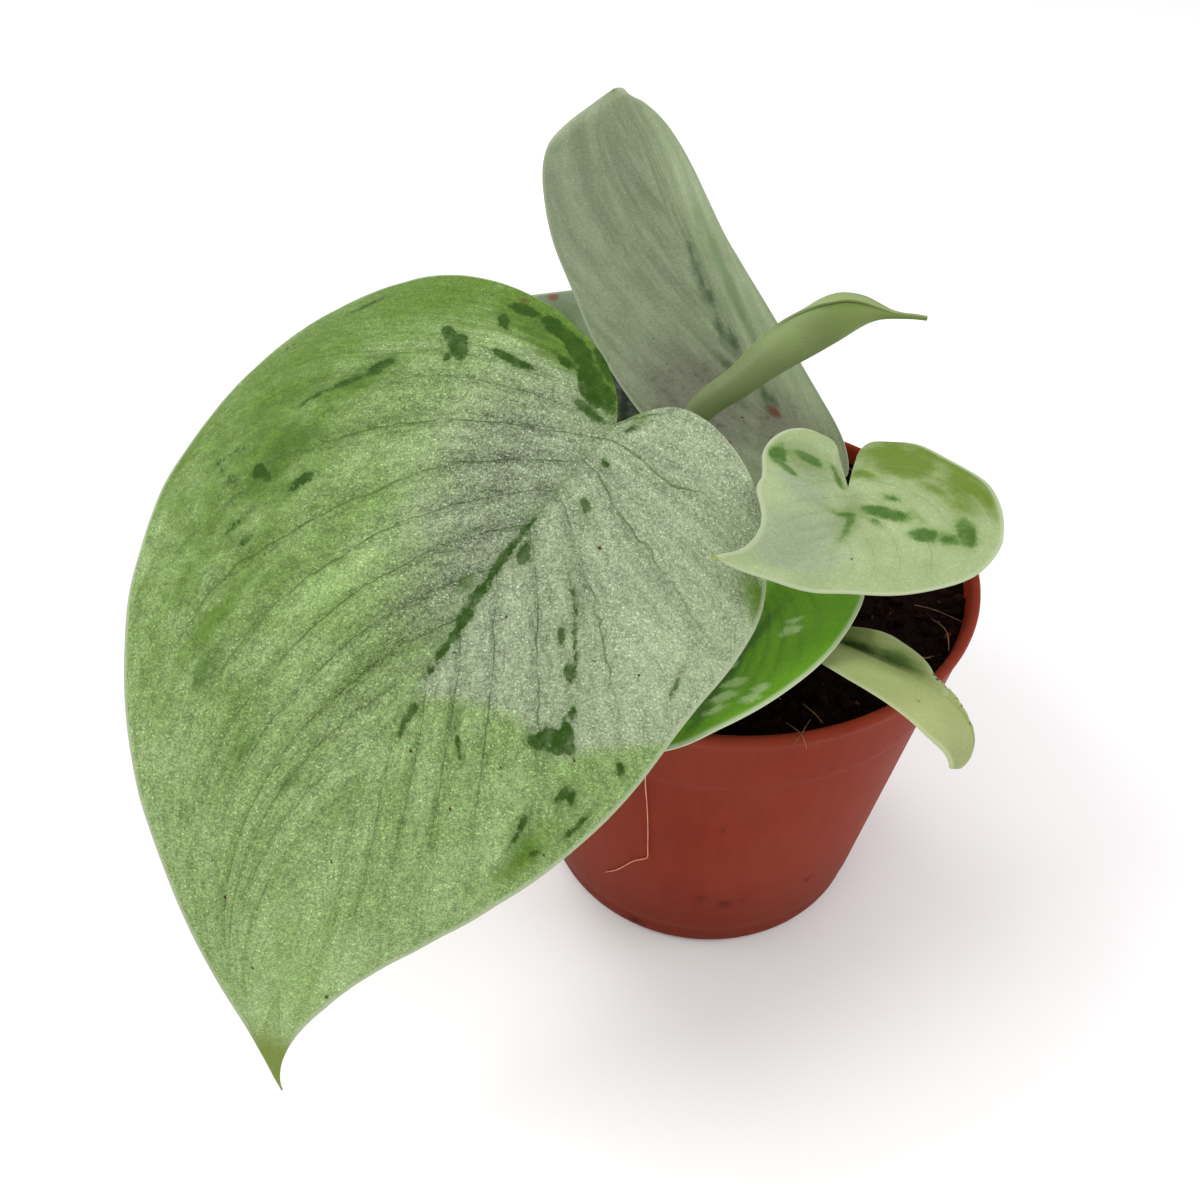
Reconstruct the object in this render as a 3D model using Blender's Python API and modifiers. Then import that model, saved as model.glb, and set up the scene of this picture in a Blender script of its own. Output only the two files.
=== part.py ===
# Satin pothos in its small nursery pot. Metres, +Z up, the pot's underside centre at the origin.
import math

import bmesh
import bpy
from mathutils import Vector

MM = 0.001
GAP = 0.3 * MM  # clearance between pieces that touch in the real plant

# Pot, filled nearly to the brim
POT_SEGMENTS = 64
POT_HEIGHT = 58.0 * MM
RIM_RADIUS = 35.0 * MM
BASE_RADIUS = 25.5 * MM
BAND_BOTTOM = 46.5 * MM
BAND_RADIUS = 33.2 * MM
BODY_TOP_RADIUS = 32.4 * MM
WALL = 1.2 * MM
FLOOR = 1.6 * MM
FOOT_HEIGHT = 4.5 * MM
FOOT_STEP = 0.25 * MM
DRAIN_HOLES = 4
DRAIN_RADIUS = 2.0 * MM
DRAIN_CIRCLE = 16.0 * MM

# Soil
SOIL_TOP = 56.0 * MM
SOIL_EDGE = 54.9 * MM
SOIL_BOTTOM = FLOOR + GAP
STEM_HOLE_BOTTOM = 40.0 * MM

# Leaves
BLADE_THICK = 0.7 * MM
BLADE_MERGE = 0.1 * MM
MIDRIB_STEPS = 40
MIDRIB = [(0.0, 1.0, 0.85), (0.12, 0.75, 0.62), (0.3, 0.55, 0.45), (0.55, 0.45, 0.32)]  # share, radius, depth
SINUS_OPEN = 1.2  # mm, keeps the lobes a blade's thickness apart
TIP_FLAT = 0.20  # share of the midrib over which the fold dies out at the tip
NOTCH_FLAT = 0.06  # the same about the sinus
LOBE_SHARE = 0.3  # share of the rows that end on the lobes
RIB_POWER = 1.4
PETIOLE_SIDES = 8
VINE_SIDES = 10

# Each blade is a flat heart (mm) that is laid along a bent midrib (degrees): where the stalk joins it, its
# heading, pitch and roll there, its length, half widths and lobes, how far the midrib droops and twists,
# how each half is folded up and curled over, and the sideways sweep of the tip.
LEAVES = {
    "leaf_main": dict(at=(-15.4, -16.0, 89.3), yaw=-133, pitch=-21, roll=-24, length=96.8, left=27.7,
                      right=43.6, lobe_left=7.7, lobe_right=6.0, droop=56, droop_power=1.5, twist=-25,
                      fold_left=-10, fold_right=16, curl_left=5, curl_right=68, sweep=0.18, widest=0.17,
                      lobe_width=0.30, tip_draw=0.34, sinus=0.65, belly=0.56, tip_keep=0.985, rows=22, columns=7),
    "leaf_back": dict(at=(12.6, 10.9, 64.9), yaw=132, pitch=39, roll=-30, length=59.2, left=17.8,
                      right=9.5, lobe_left=4.0, lobe_right=4.0, droop=-13, droop_power=1.5, twist=-17,
                      fold_left=11, fold_right=45, curl_left=2, curl_right=15, sweep=-0.02, widest=0.55,
                      lobe_width=0.48, tip_draw=0.02, sinus=0.55, belly=0.95, tip_keep=0.97, rows=16, columns=6),
    "leaf_right": dict(at=(12.7, -13.1, 77.7), yaw=263, pitch=-3, roll=9, length=28.5, left=18.2,
                       right=12.9, lobe_left=9.9, lobe_right=8.8, droop=-25, droop_power=1.5, twist=-30,
                       fold_left=-1, fold_right=42, curl_left=13, curl_right=22, sweep=-0.59, widest=0.22,
                       lobe_width=0.23, tip_draw=0.12, sinus=0.69, belly=0.26, tip_keep=0.96, rows=16, columns=6),
    "leaf_under": dict(at=(5.5, -12.6, 62.5), yaw=232, pitch=0, roll=-1, length=31.4, left=13.0,
                       right=13.0, lobe_left=6.6, lobe_right=5.0, droop=7, droop_power=1.5, twist=0,
                       fold_left=11, fold_right=8, curl_left=-9, curl_right=8, sweep=0.10, widest=0.25,
                       lobe_width=0.52, tip_draw=0.02, sinus=0.55, belly=0.56, tip_keep=0.97, rows=12, columns=5),
    "leaf_young": dict(at=(10.5, -19.2, 59.4), yaw=-49, pitch=25, roll=-12, length=28.2, left=3.6,
                       right=7.1, lobe_left=0.2, lobe_right=0.2, droop=109, droop_power=3.0, twist=16,
                       fold_left=42, fold_right=5, curl_left=0, curl_right=-4, sweep=-0.11, widest=0.35,
                       lobe_width=0.60, tip_draw=0.02, sinus=0.55, belly=0.75, tip_keep=0.87, rows=14, columns=3),
    "leaf_behind": dict(at=(-14.6, 13.0, 65.6), yaw=125, pitch=19, roll=-16, length=46.1, left=17.0,
                        right=17.0, lobe_left=6.0, lobe_right=6.0, droop=32, droop_power=1.5, twist=0,
                        fold_left=10, fold_right=10, curl_left=8, curl_right=8, sweep=0.0, widest=0.28,
                        lobe_width=0.50, tip_draw=0.30, sinus=0.55, belly=0.42, tip_keep=0.97, rows=13, columns=5),
}

# Vines (mm): centre line points with the radius at each, standing in the soil and swollen at the nodes
VINES = {
    "vine_tall": [((-4, 5, 42), 1.7), ((-4, 5, 58), 1.7), ((-4.2, 5.1, 61), 2.1), ((-4.4, 5.1, 64), 1.7),
                  ((-4.8, 5, 69), 1.7), ((-5, 4.8, 71), 2.1), ((-5.1, 4.6, 73.5), 1.7)],
    "vine_short": [((13.5, 0.5, 42), 1.6), ((13.5, 0.5, 58), 1.6), ((13.6, 0.6, 60.5), 2.0),
                   ((13.8, 0.8, 63), 1.5)],
}

# Leaf stalks (mm): centre line points and radii from the foot to just short of the blade
STALKS = {
    "leaf_main": [((-4.9, 3.2, 70.3), 1.7), ((-7.0, -1.6, 74.8), 1.4), ((-10.2, -6.8, 83.5), 1.3)],
    "leaf_back": [((14.6, 2.0, 60.3), 1.4), ((15.2, 5.2, 60.8), 1.2), ((14.8, 8.4, 62.2), 1.2)],
    "leaf_right": [((14.4, 0.3, 61.8), 1.4), ((15.8, -2.2, 67.8), 1.1), ((14.4, -8.4, 74.6), 1.1)],
    "leaf_under": [((10.5, -8.0, 42), 1.1), ((10.5, -8.0, 57), 1.1), ((10.4, -8.0, 58.4), 1.1),
                   ((8.8, -9.6, 60.8), 1.1)],
    "leaf_young": [((6.0, -15.6, 42), 1.0), ((6.0, -15.6, 56.4), 1.0), ((6.2, -15.8, 57.4), 1.0),
                   ((8.2, -17.4, 58.9), 1.0)],
    "leaf_behind": [((-5.6, 6.6, 60.6), 1.4), ((-7.6, 8.8, 63.6), 1.1), ((-11.6, 10.6, 64.4), 1.1)],
}
SEATS = {"leaf_main": "vine_tall", "leaf_behind": "vine_tall", "leaf_back": "vine_short",
         "leaf_right": "vine_short", "leaf_rolled": "vine_tall"}

# Rolled new leaf (mm): a funnel of one turned blade, thickest before its drawn-out tip
ROLLED = [((-5.3, 4.4, 73.2), 1.5), ((-4.0, 4.0, 77.6), 1.7), ((0.6, 4.8, 81.6), 2.0),
          ((5.2, 5.8, 84.4), 2.7), ((9.4, 6.9, 86.8), 3.3), ((13.2, 7.8, 88.6), 3.4),
          ((16.6, 8.3, 89.4), 2.6), ((19.8, 8.5, 89.5), 1.4), ((22.2, 8.6, 89.3), 0.7),
          ((24.4, 8.7, 89.0), 0.35)]

COLOURS = {
    "pot": ((0.225, 0.042, 0.026), 0.62),
    "soil": ((0.020, 0.011, 0.009), 0.95),
    "vine_tall": ((0.16, 0.26, 0.06), 0.55),
    "vine_short": ((0.16, 0.26, 0.06), 0.55),
    "leaf_main": ((0.30, 0.42, 0.22), 0.45),
    "leaf_back": ((0.27, 0.34, 0.22), 0.50),
    "leaf_right": ((0.36, 0.48, 0.26), 0.45),
    "leaf_under": ((0.045, 0.20, 0.010), 0.40),
    "leaf_young": ((0.42, 0.52, 0.22), 0.50),
    "leaf_behind": ((0.17, 0.24, 0.13), 0.50),
    "leaf_rolled": ((0.38, 0.50, 0.19), 0.50),
}

for old in list(bpy.data.objects):
    bpy.data.objects.remove(old, do_unlink=True)
scene = bpy.context.scene
scene.unit_settings.scale_length = 1.0
plant = bpy.data.collections.new("satin_pothos_in_pot")
cutters = bpy.data.collections.new("cutters")
scene.collection.children.link(plant)
scene.collection.children.link(cutters)


def place(obj, collection, name):
    for held in list(obj.users_collection):
        held.objects.unlink(obj)
    collection.objects.link(obj)
    obj.name = obj.data.name = name
    if collection is cutters:
        obj.hide_render = True
        obj.display_type = "WIRE"
    return obj


def finish(obj, name):
    (red, green, blue), rough = COLOURS[name]
    material = bpy.data.materials.new(name)
    material.use_nodes = True
    shader = material.node_tree.nodes["Principled BSDF"]
    shader.inputs["Base Color"].default_value = (red, green, blue, 1)
    shader.inputs["Roughness"].default_value = rough
    shader.inputs["Metallic"].default_value = 0.0
    obj.data.materials.clear()
    obj.data.materials.append(material)


def smooth(obj, angle):
    bpy.ops.object.select_all(action="DESELECT")
    obj.select_set(True)
    bpy.context.view_layer.objects.active = obj
    bpy.ops.object.shade_smooth_by_angle(angle=math.radians(angle))


def apply_modifiers(obj):
    bpy.ops.object.select_all(action="DESELECT")
    obj.select_set(True)
    bpy.context.view_layer.objects.active = obj
    for modifier in list(obj.modifiers):
        bpy.ops.object.modifier_apply(modifier=modifier.name)


def boolean(obj, other, operation):
    modifier = obj.modifiers.new(operation.title(), "BOOLEAN")
    modifier.operation = operation
    modifier.solver = "EXACT"
    modifier.object = other
    modifier.use_self = operation == "UNION"
    apply_modifiers(obj)


def turned(points, name, collection, segments):
    mesh = bpy.data.meshes.new(name)
    mesh.from_pydata([(r, 0, z) for r, z in points], [(i, i + 1) for i in range(len(points) - 1)], [])
    obj = bpy.data.objects.new(name, mesh)
    collection.objects.link(obj)
    screw = obj.modifiers.new("Screw", "SCREW")
    screw.steps = screw.render_steps = segments
    screw.use_merge_vertices = True
    screw.merge_threshold = 0.00001
    screw.use_smooth_shade = True
    apply_modifiers(obj)
    if collection is cutters:
        place(obj, cutters, name)
    return obj


def tube(points, name, collection, sides, swell=0.0):
    """A closed round tube along (position, radius) points in mm, made with a bevelled curve."""
    curve = bpy.data.curves.new(name, "CURVE")
    curve.dimensions = "3D"
    curve.bevel_depth = 1.0
    curve.bevel_resolution = sides // 2 - 2
    curve.use_fill_caps = True
    curve.resolution_u = 3
    spline = curve.splines.new("NURBS")
    spline.points.add(len(points) - 1)
    spline.order_u = 3
    spline.use_endpoint_u = True
    for point, ((x, y, z), radius) in zip(spline.points, points):
        point.co = (x * MM, y * MM, z * MM, 1)
        point.radius = radius * MM + swell
    last = Vector(points[-1][0]) - Vector(points[-2][0])
    spline.points[-1].co += (last.normalized() * swell).to_4d() - Vector((0, 0, 0, 1))
    guide = bpy.data.objects.new(name + "_curve", curve)
    scene.collection.objects.link(guide)
    graph = bpy.context.evaluated_depsgraph_get()
    mesh = bpy.data.meshes.new_from_object(guide.evaluated_get(graph))
    obj = bpy.data.objects.new(name, mesh)
    collection.objects.link(obj)
    obj.matrix_world = guide.matrix_world.copy()
    bpy.data.objects.remove(guide, do_unlink=True)
    shape = bmesh.new()
    shape.from_mesh(mesh)
    bmesh.ops.remove_doubles(shape, verts=shape.verts, dist=0.001 * MM)
    bmesh.ops.recalc_face_normals(shape, faces=shape.faces)
    shape.to_mesh(mesh)
    shape.free()
    return place(obj, collection, name)


def bezier(p, t):
    a, b, c, d = (1 - t) ** 3, 3 * (1 - t) ** 2 * t, 3 * (1 - t) * t * t, t ** 3
    return tuple(a * p[0][i] + b * p[1][i] + c * p[2][i] + d * p[3][i] for i in (0, 1))


def flat_blade(leaf, side, t, v):
    """A point (mm) of one flat half: t runs from the sinus edge to the tip, v from the midrib to the margin."""
    length, width = leaf["length"], leaf[side]
    lobe, half = leaf["lobe_" + side], leaf["lobe_width"] * width
    wide = leaf["widest"] * length
    reach = wide + leaf["belly"] * length * (1 - leaf["widest"])
    lift = half + 0.62 * (width - half)
    sinus = [(0, 0), (-leaf["sinus"] * lobe, SINUS_OPEN + 0.02 * width), (-lobe, 0.45 * half), (-lobe, half)]
    lobe_edge = [(-lobe, half), (-lobe, lift), (wide - 0.5 * (wide + lobe), width), (wide, width)]
    tip_edge = [(wide, width), (reach, width), (length * (1 - leaf["tip_draw"]), 0.06 * width), (length, 0)]
    if t < LOBE_SHARE:
        edge = bezier(lobe_edge, t / LOBE_SHARE)
    else:
        edge = bezier(tip_edge, (t - LOBE_SHARE) / (1 - LOBE_SHARE))
    rib = length * t ** RIB_POWER
    bow = (1 - t) ** 4
    hollow = bezier(sinus, v)
    x = rib + (edge[0] - rib) * v + bow * (hollow[0] + lobe * v)
    y = edge[1] * v + bow * (hollow[1] - half * v)
    return x, y


def blade_frame(leaf):
    yaw, pitch, roll = (math.radians(leaf[k]) for k in ("yaw", "pitch", "roll"))
    ahead = Vector((math.cos(yaw) * math.cos(pitch), math.sin(yaw) * math.cos(pitch), math.sin(pitch)))
    level = Vector((-math.sin(yaw), math.cos(yaw), 0))
    up = ahead.cross(level)
    left = level * math.cos(roll) + up * math.sin(roll)
    return ahead, left, up * math.cos(roll) - level * math.sin(roll)


def bent(leaf, x, y):
    """Where a point of the flat blade (mm) lies on the bent one, in metres, with the blade's normal."""
    ahead, left, up = blade_frame(leaf)
    length = leaf["length"]
    share = min(max(x / length, 0), 1)
    droop = math.radians(leaf["droop"])
    run = rise = 0.0
    for i in range(MIDRIB_STEPS):
        angle = droop * (share * (i + 0.5) / MIDRIB_STEPS) ** leaf["droop_power"]
        run += math.cos(angle) * share * length / MIDRIB_STEPS
        rise -= math.sin(angle) * share * length / MIDRIB_STEPS
    if x < 0:
        run = x
    turn = droop * share ** leaf["droop_power"]
    side, sign = ("left", 1) if y >= 0 else ("right", -1)
    fade = min(1, (1 - share) / TIP_FLAT, 0.3 + 0.7 * math.hypot(max(x, 0), y) / length / NOTCH_FLAT)
    fold = math.radians(leaf["fold_" + side]) * fade
    curl = math.radians(leaf["curl_" + side]) / max(leaf["left"], leaf["right"])
    curl = curl if abs(curl) > 1e-5 else 1e-5
    out = (math.sin(fold) - math.sin(fold - curl * abs(y))) / curl * sign
    high = (math.cos(fold - curl * abs(y)) - math.cos(fold)) / curl
    out += leaf["sweep"] * length * share ** 2
    twist = math.radians(leaf["twist"]) * share
    out, high = out * math.cos(twist) - high * math.sin(twist), out * math.sin(twist) + high * math.cos(twist)
    normal = up * math.cos(turn) + ahead * math.sin(turn)
    spot = Vector(leaf["at"]) + ahead * run + up * rise + left * out + normal * high
    return spot * MM, normal


def blade(name, leaf):
    rows, columns = leaf["rows"], leaf["columns"]
    bpy.ops.mesh.primitive_grid_add(x_subdivisions=rows, y_subdivisions=2 * columns, size=2)
    obj = place(bpy.context.object, plant, name)
    for vertex in obj.data.vertices:
        t = (vertex.co.x + 1) / 2 * leaf["tip_keep"]
        v = vertex.co.y
        side = "left" if v >= 0 else "right"
        x, y = flat_blade(leaf, side, t, abs(v))
        vertex.co = bent(leaf, x, y if v >= 0 else -y)[0]
    shape = bmesh.new()
    shape.from_mesh(obj.data)
    bmesh.ops.remove_doubles(shape, verts=shape.verts, dist=BLADE_MERGE)
    bmesh.ops.triangulate(shape, faces=shape.faces)
    shape.to_mesh(obj.data)
    shape.free()
    solid = obj.modifiers.new("Solidify", "SOLIDIFY")
    solid.thickness = BLADE_THICK
    solid.offset = 0.0
    apply_modifiers(obj)
    return obj


def stalk(name, leaf):
    """The stalk, running on under the blade as its midrib."""
    points = list(STALKS[name])
    for share, radius, depth in MIDRIB:
        spot, normal = bent(leaf, share * leaf["length"], 0)
        spot -= normal * depth * MM
        points.append((tuple(c / MM for c in spot), radius))
    return tube(points, name + "_stalk", cutters, PETIOLE_SIDES)


# Pot: turned wall with a rim band and a low foot, drained through its floor
wall_slope = (BODY_TOP_RADIUS - BASE_RADIUS) / BAND_BOTTOM


def pot_inside(z):
    """Inner radius of the pot at a height."""
    if z <= BAND_BOTTOM:
        return BASE_RADIUS - WALL + wall_slope * z
    share = min((z - BAND_BOTTOM) / (POT_HEIGHT - BAND_BOTTOM), 1)
    return BODY_TOP_RADIUS - WALL + share * (RIM_RADIUS - BODY_TOP_RADIUS)


lip = WALL / 4
pot_profile = [
    (0, FLOOR), (pot_inside(FLOOR) - 2 * WALL, FLOOR), (pot_inside(3 * FLOOR), 3 * FLOOR),
    (pot_inside(BAND_BOTTOM), BAND_BOTTOM), (RIM_RADIUS - WALL, POT_HEIGHT - 2 * lip),
    (RIM_RADIUS - 3 * lip, POT_HEIGHT - 0.3 * lip), (RIM_RADIUS - 2 * lip, POT_HEIGHT),
    (RIM_RADIUS - lip, POT_HEIGHT - 0.3 * lip), (RIM_RADIUS, POT_HEIGHT - 2 * lip),
    (RIM_RADIUS - 0.4 * lip, POT_HEIGHT - 5 * lip), (RIM_RADIUS - 1.4 * lip, POT_HEIGHT - 7 * lip),
    (BAND_RADIUS, BAND_BOTTOM + 2 * lip), (BAND_RADIUS - lip, BAND_BOTTOM), (BODY_TOP_RADIUS, BAND_BOTTOM - lip),
    (BASE_RADIUS + wall_slope * FOOT_HEIGHT, FOOT_HEIGHT),
    (BASE_RADIUS + wall_slope * FOOT_HEIGHT - FOOT_STEP, FOOT_HEIGHT - FOOT_STEP),
    (BASE_RADIUS, 3 * lip), (BASE_RADIUS - 2 * lip, 0), (0, 0),
]
pot = turned(pot_profile, "pot", plant, POT_SEGMENTS)
for i in range(DRAIN_HOLES):
    angle = 2 * math.pi * (i + 0.5) / DRAIN_HOLES
    spot = (DRAIN_CIRCLE * math.cos(angle), DRAIN_CIRCLE * math.sin(angle), FLOOR / 2)
    bpy.ops.mesh.primitive_cylinder_add(vertices=16, radius=DRAIN_RADIUS, depth=4 * FLOOR, location=spot)
    drill = place(bpy.context.object, cutters, f"drain_{i}")
    boolean(pot, drill, "DIFFERENCE")
smooth(pot, 35)
finish(pot, "pot")

# Vines and the seats that are cut for them
vines, seats = {}, {}
for name, points in VINES.items():
    vines[name] = tube(points, name, plant, VINE_SIDES)
    seats[name] = tube(points, name + "_seat", cutters, VINE_SIDES, GAP)
    smooth(vines[name], 60)
    finish(vines[name], name)

# Leaves: blade and stalk fused, the stalk's foot cut to its vine
for name, leaf in LEAVES.items():
    obj = blade(name, leaf)
    boolean(obj, stalk(name, leaf), "UNION")
    if name in SEATS:
        boolean(obj, seats[SEATS[name]], "DIFFERENCE")
    smooth(obj, 50)
    finish(obj, name)

rolled = tube(ROLLED, "leaf_rolled", plant, VINE_SIDES)
boolean(rolled, seats[SEATS["leaf_rolled"]], "DIFFERENCE")
smooth(rolled, 60)
finish(rolled, "leaf_rolled")

# Soil: a plug in the pot with a low crown, bored for every stem that stands in it
soil_profile = [
    (0, SOIL_TOP + 0.4 * MM), (8 * MM, SOIL_TOP), (17 * MM, SOIL_TOP + 0.3 * MM), (26 * MM, SOIL_TOP - 0.4 * MM),
    (pot_inside(SOIL_EDGE) - 4 * GAP, SOIL_EDGE), (pot_inside(SOIL_EDGE) - 2 * GAP, SOIL_EDGE - 2 * GAP),
    (pot_inside(BAND_BOTTOM) - GAP, BAND_BOTTOM), (pot_inside(3 * FLOOR) - GAP, 3 * FLOOR),
    (pot_inside(SOIL_BOTTOM) - 2 * WALL - GAP, SOIL_BOTTOM), (0, SOIL_BOTTOM),
]
soil = turned(soil_profile, "soil", plant, POT_SEGMENTS)
feet = [points[0] for points in VINES.values()]
feet += [points[0] for name, points in STALKS.items() if name not in SEATS]
for i, ((x, y, z), radius) in enumerate(feet):
    depth = 2 * (SOIL_TOP - STEM_HOLE_BOTTOM)
    spot = (x * MM, y * MM, STEM_HOLE_BOTTOM + depth / 2)
    bpy.ops.mesh.primitive_cylinder_add(vertices=20, radius=radius * MM + 1.5 * GAP, depth=depth, location=spot)
    drill = place(bpy.context.object, cutters, f"stem_hole_{i}")
    boolean(soil, drill, "DIFFERENCE")
smooth(soil, 35)
finish(soil, "soil")
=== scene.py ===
# Satin pothos in its small nursery pot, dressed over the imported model. Metres, +Z up.
import math
import random

import bpy
import numpy as np
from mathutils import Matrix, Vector, noise


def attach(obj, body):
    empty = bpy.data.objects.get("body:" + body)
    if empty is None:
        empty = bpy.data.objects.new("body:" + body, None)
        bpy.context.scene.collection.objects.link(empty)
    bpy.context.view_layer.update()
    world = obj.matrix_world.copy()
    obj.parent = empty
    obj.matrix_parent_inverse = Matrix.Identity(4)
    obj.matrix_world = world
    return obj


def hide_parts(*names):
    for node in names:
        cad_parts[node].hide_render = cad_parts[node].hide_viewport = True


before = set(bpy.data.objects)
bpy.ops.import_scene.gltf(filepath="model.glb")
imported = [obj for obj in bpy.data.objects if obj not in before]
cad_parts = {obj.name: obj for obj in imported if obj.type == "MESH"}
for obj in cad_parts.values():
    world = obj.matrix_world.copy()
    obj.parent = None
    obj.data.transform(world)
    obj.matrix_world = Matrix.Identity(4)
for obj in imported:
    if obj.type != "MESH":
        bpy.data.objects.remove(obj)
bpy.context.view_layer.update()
MM = 0.001

# Pot: a thin nursery pot blown from terracotta-brown plastic. The wall flares to a rim band with a rolled
# lip, a low foot runs round its base, and the floor is drained by four holes. Soil has dried on its foot.
POT_TURNS = 240  # steps round the wall
POT_STEP = 1.6  # mm, longest step up the wall
POT_INNER = [(0, 1.6), (20, 1.6), (22.8, 1.75), (24.3, 2.5), (24.9, 3.6), (25.04, 5), (31.2, 46.5), (31.6, 48),
             (33.55, 57.0), (33.75, 57.55), (34.0, 57.88)]
POT_OUTER = [(34.35, 58), (34.7, 57.88), (34.92, 57.6), (35, 57.2), (34.97, 56.8), (34.82, 56.45), (34.62, 56.1),
             (34.5, 55.6), (33.22, 47.2), (33.12, 46.85), (32.85, 46.6), (32.5, 46.45), (32.37, 46.2),
             (26.2, 4.6), (26.1, 4.4), (25.95, 4.3), (25.88, 4.1), (25.5, 0.9), (25.3, 0.4), (24.9, 0.08),
             (24.5, 0), (23.7, 0), (23.3, 0.25), (23.0, 0.65), (22.5, 0.8), (0, 0.8)]
DRAIN_HOLES = 4
DRAIN_RADIUS = 2.0
DRAIN_CIRCLE = 16.0
POT_BROWN = (0.220, 0.024, 0.008, 1)
POT_DARK = (0.200, 0.020, 0.006, 1)
POT_CHALKY = (0.270, 0.060, 0.034, 1)
SOIL_STAIN = (0.045, 0.016, 0.011, 1)
# Painted shade: the colour the wall darkens to towards its foot
POT_FOOT_SHADE = (0.085, 0.012, 0.006, 1)
# Stains (mm): where each sits on the wall, its reach and its strength
STAINS = [(-2.6, -27.7, 14.8, 2.2, 0.8), (1.2, -27.6, 13.3, 2.4, 0.9), (4.1, -27.5, 14.4, 1.6, 0.9),
          (-1.0, -30.9, 35.2, 0.9, 0.9), (13.7, -24.2, 14.7, 1.7, 1.0), (-11.7, -22.9, 2.1, 2.4, 1.0),
          (9.5, -26.0, 16.5, 1.2, 0.6), (18.5, -22.5, 20.5, 1.0, 0.9), (-7.0, -27.0, 17.0, 1.3, 0.5),
          (24, 12, 9, 3.2, 0.8), (10, 26, 14, 2.6, 0.8), (-20, 20, 8, 3.0, 0.7), (-27, 5, 22, 1.6, 0.6),
          (27, 16, 30, 1.2, 0.7), (-8, 29, 30, 1.0, 0.7)]


def only(obj):
    """Selects one object alone and makes it the active one."""
    bpy.ops.object.select_all(action="DESELECT")
    obj.select_set(True)
    bpy.context.view_layer.objects.active = obj
    return obj


def piece(name, points, edges=(), faces=()):
    """A new mesh object at the origin, its points given in mm."""
    mesh = bpy.data.meshes.new(name)
    mesh.from_pydata([tuple(c * MM for c in p) for p in points], list(edges), list(faces))
    obj = bpy.data.objects.new(name, mesh)
    bpy.context.scene.collection.objects.link(obj)
    return only(obj)


def apply_modifiers(obj):
    only(obj)
    for modifier in list(obj.modifiers):
        bpy.ops.object.modifier_apply(modifier=modifier.name)


def spots_of(obj):
    """The piece's vertices as an array of places in mm."""
    flat = np.empty(len(obj.data.vertices) * 3)
    obj.data.vertices.foreach_get("co", flat)
    return flat.reshape(-1, 3) / MM


def put_spots(obj, spots):
    obj.data.vertices.foreach_set("co", (spots * MM).ravel())
    obj.data.update()


def mark(obj, name, values):
    """Stores one number per vertex, which the material reads."""
    layer = obj.data.attributes.new(name, "FLOAT", "POINT")
    layer.data.foreach_set("value", np.asarray(values, np.float32))


def add(tree, kind, values=None, **settings):
    """A shader node with its settings and with its inputs set or wired."""
    made = tree.nodes.new(kind)
    for key, value in settings.items():
        setattr(made, key, value)
    for key, value in (values or {}).items():
        if isinstance(value, bpy.types.NodeSocket):
            tree.links.new(value, made.inputs[key])
        else:
            made.inputs[key].default_value = value
    return made


def sum_of(tree, operation, *values):
    return add(tree, "ShaderNodeMath", dict(enumerate(values)), operation=operation).outputs[0]


def ramp(tree, value, low, high, start=0.0, end=1.0):
    """Runs smoothly from start to end while value goes from low to high."""
    values = {"Value": value, "From Min": low, "From Max": high, "To Min": start, "To Max": end}
    return add(tree, "ShaderNodeMapRange", values, interpolation_type="SMOOTHSTEP").outputs[0]


def over(tree, mask, under, top):
    """One colour laid over another through a mask."""
    return add(tree, "ShaderNodeMix", {0: mask, 6: under, 7: top}, data_type="RGBA").outputs[2]


def cloud(tree, place, size, detail=2.0, rough=0.5):
    """Soft noise with lumps of about that size in metres."""
    values = {"Vector": place, "Scale": 1 / size, "Detail": detail, "Roughness": rough}
    return add(tree, "ShaderNodeTexNoise", values).outputs["Fac"]


def seen(tree, name):
    return add(tree, "ShaderNodeAttribute", attribute_name=name).outputs["Fac"]


def bump(tree, height, depth, strength=1.0):
    return add(tree, "ShaderNodeBump", {"Height": height, "Distance": depth, "Strength": strength}).outputs[0]


def new_material(name, **sockets):
    """A material with its Principled shader; the numbers that don't vary are set on its own sockets."""
    made = bpy.data.materials.new(name)
    made.use_nodes = True
    shader = made.node_tree.nodes["Principled BSDF"]
    for key, value in sockets.items():
        shader.inputs[key.replace("_", " ")].default_value = value
    return made, made.node_tree, shader


def new_group(name, inputs, outputs):
    """A shared effect: its tree with its Group Input and Group Output nodes."""
    tree = bpy.data.node_groups.new(name, "ShaderNodeTree")
    for label, value in inputs.items():
        tree.interface.new_socket(name=label, in_out="INPUT", socket_type="NodeSocketFloat").default_value = value
    for label in outputs:
        tree.interface.new_socket(name=label, in_out="OUTPUT", socket_type="NodeSocketFloat")
    return tree, tree.nodes.new("NodeGroupInput").outputs, tree.nodes.new("NodeGroupOutput").inputs


def use_group(tree, group, **values):
    made = add(tree, "ShaderNodeGroup", node_tree=group)
    for key, value in values.items():
        made.inputs[key].default_value = value
    return made.outputs


def stepped(profile, step):
    """The profile with no stretch longer than step."""
    points = [profile[0]]
    for a, b in zip(profile, profile[1:]):
        pieces = max(1, math.ceil(math.dist(a, b) / step))
        points += [(a[0] + (b[0] - a[0]) * i / pieces, a[1] + (b[1] - a[1]) * i / pieces) for i in range(1, pieces + 1)]
    return points


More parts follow.
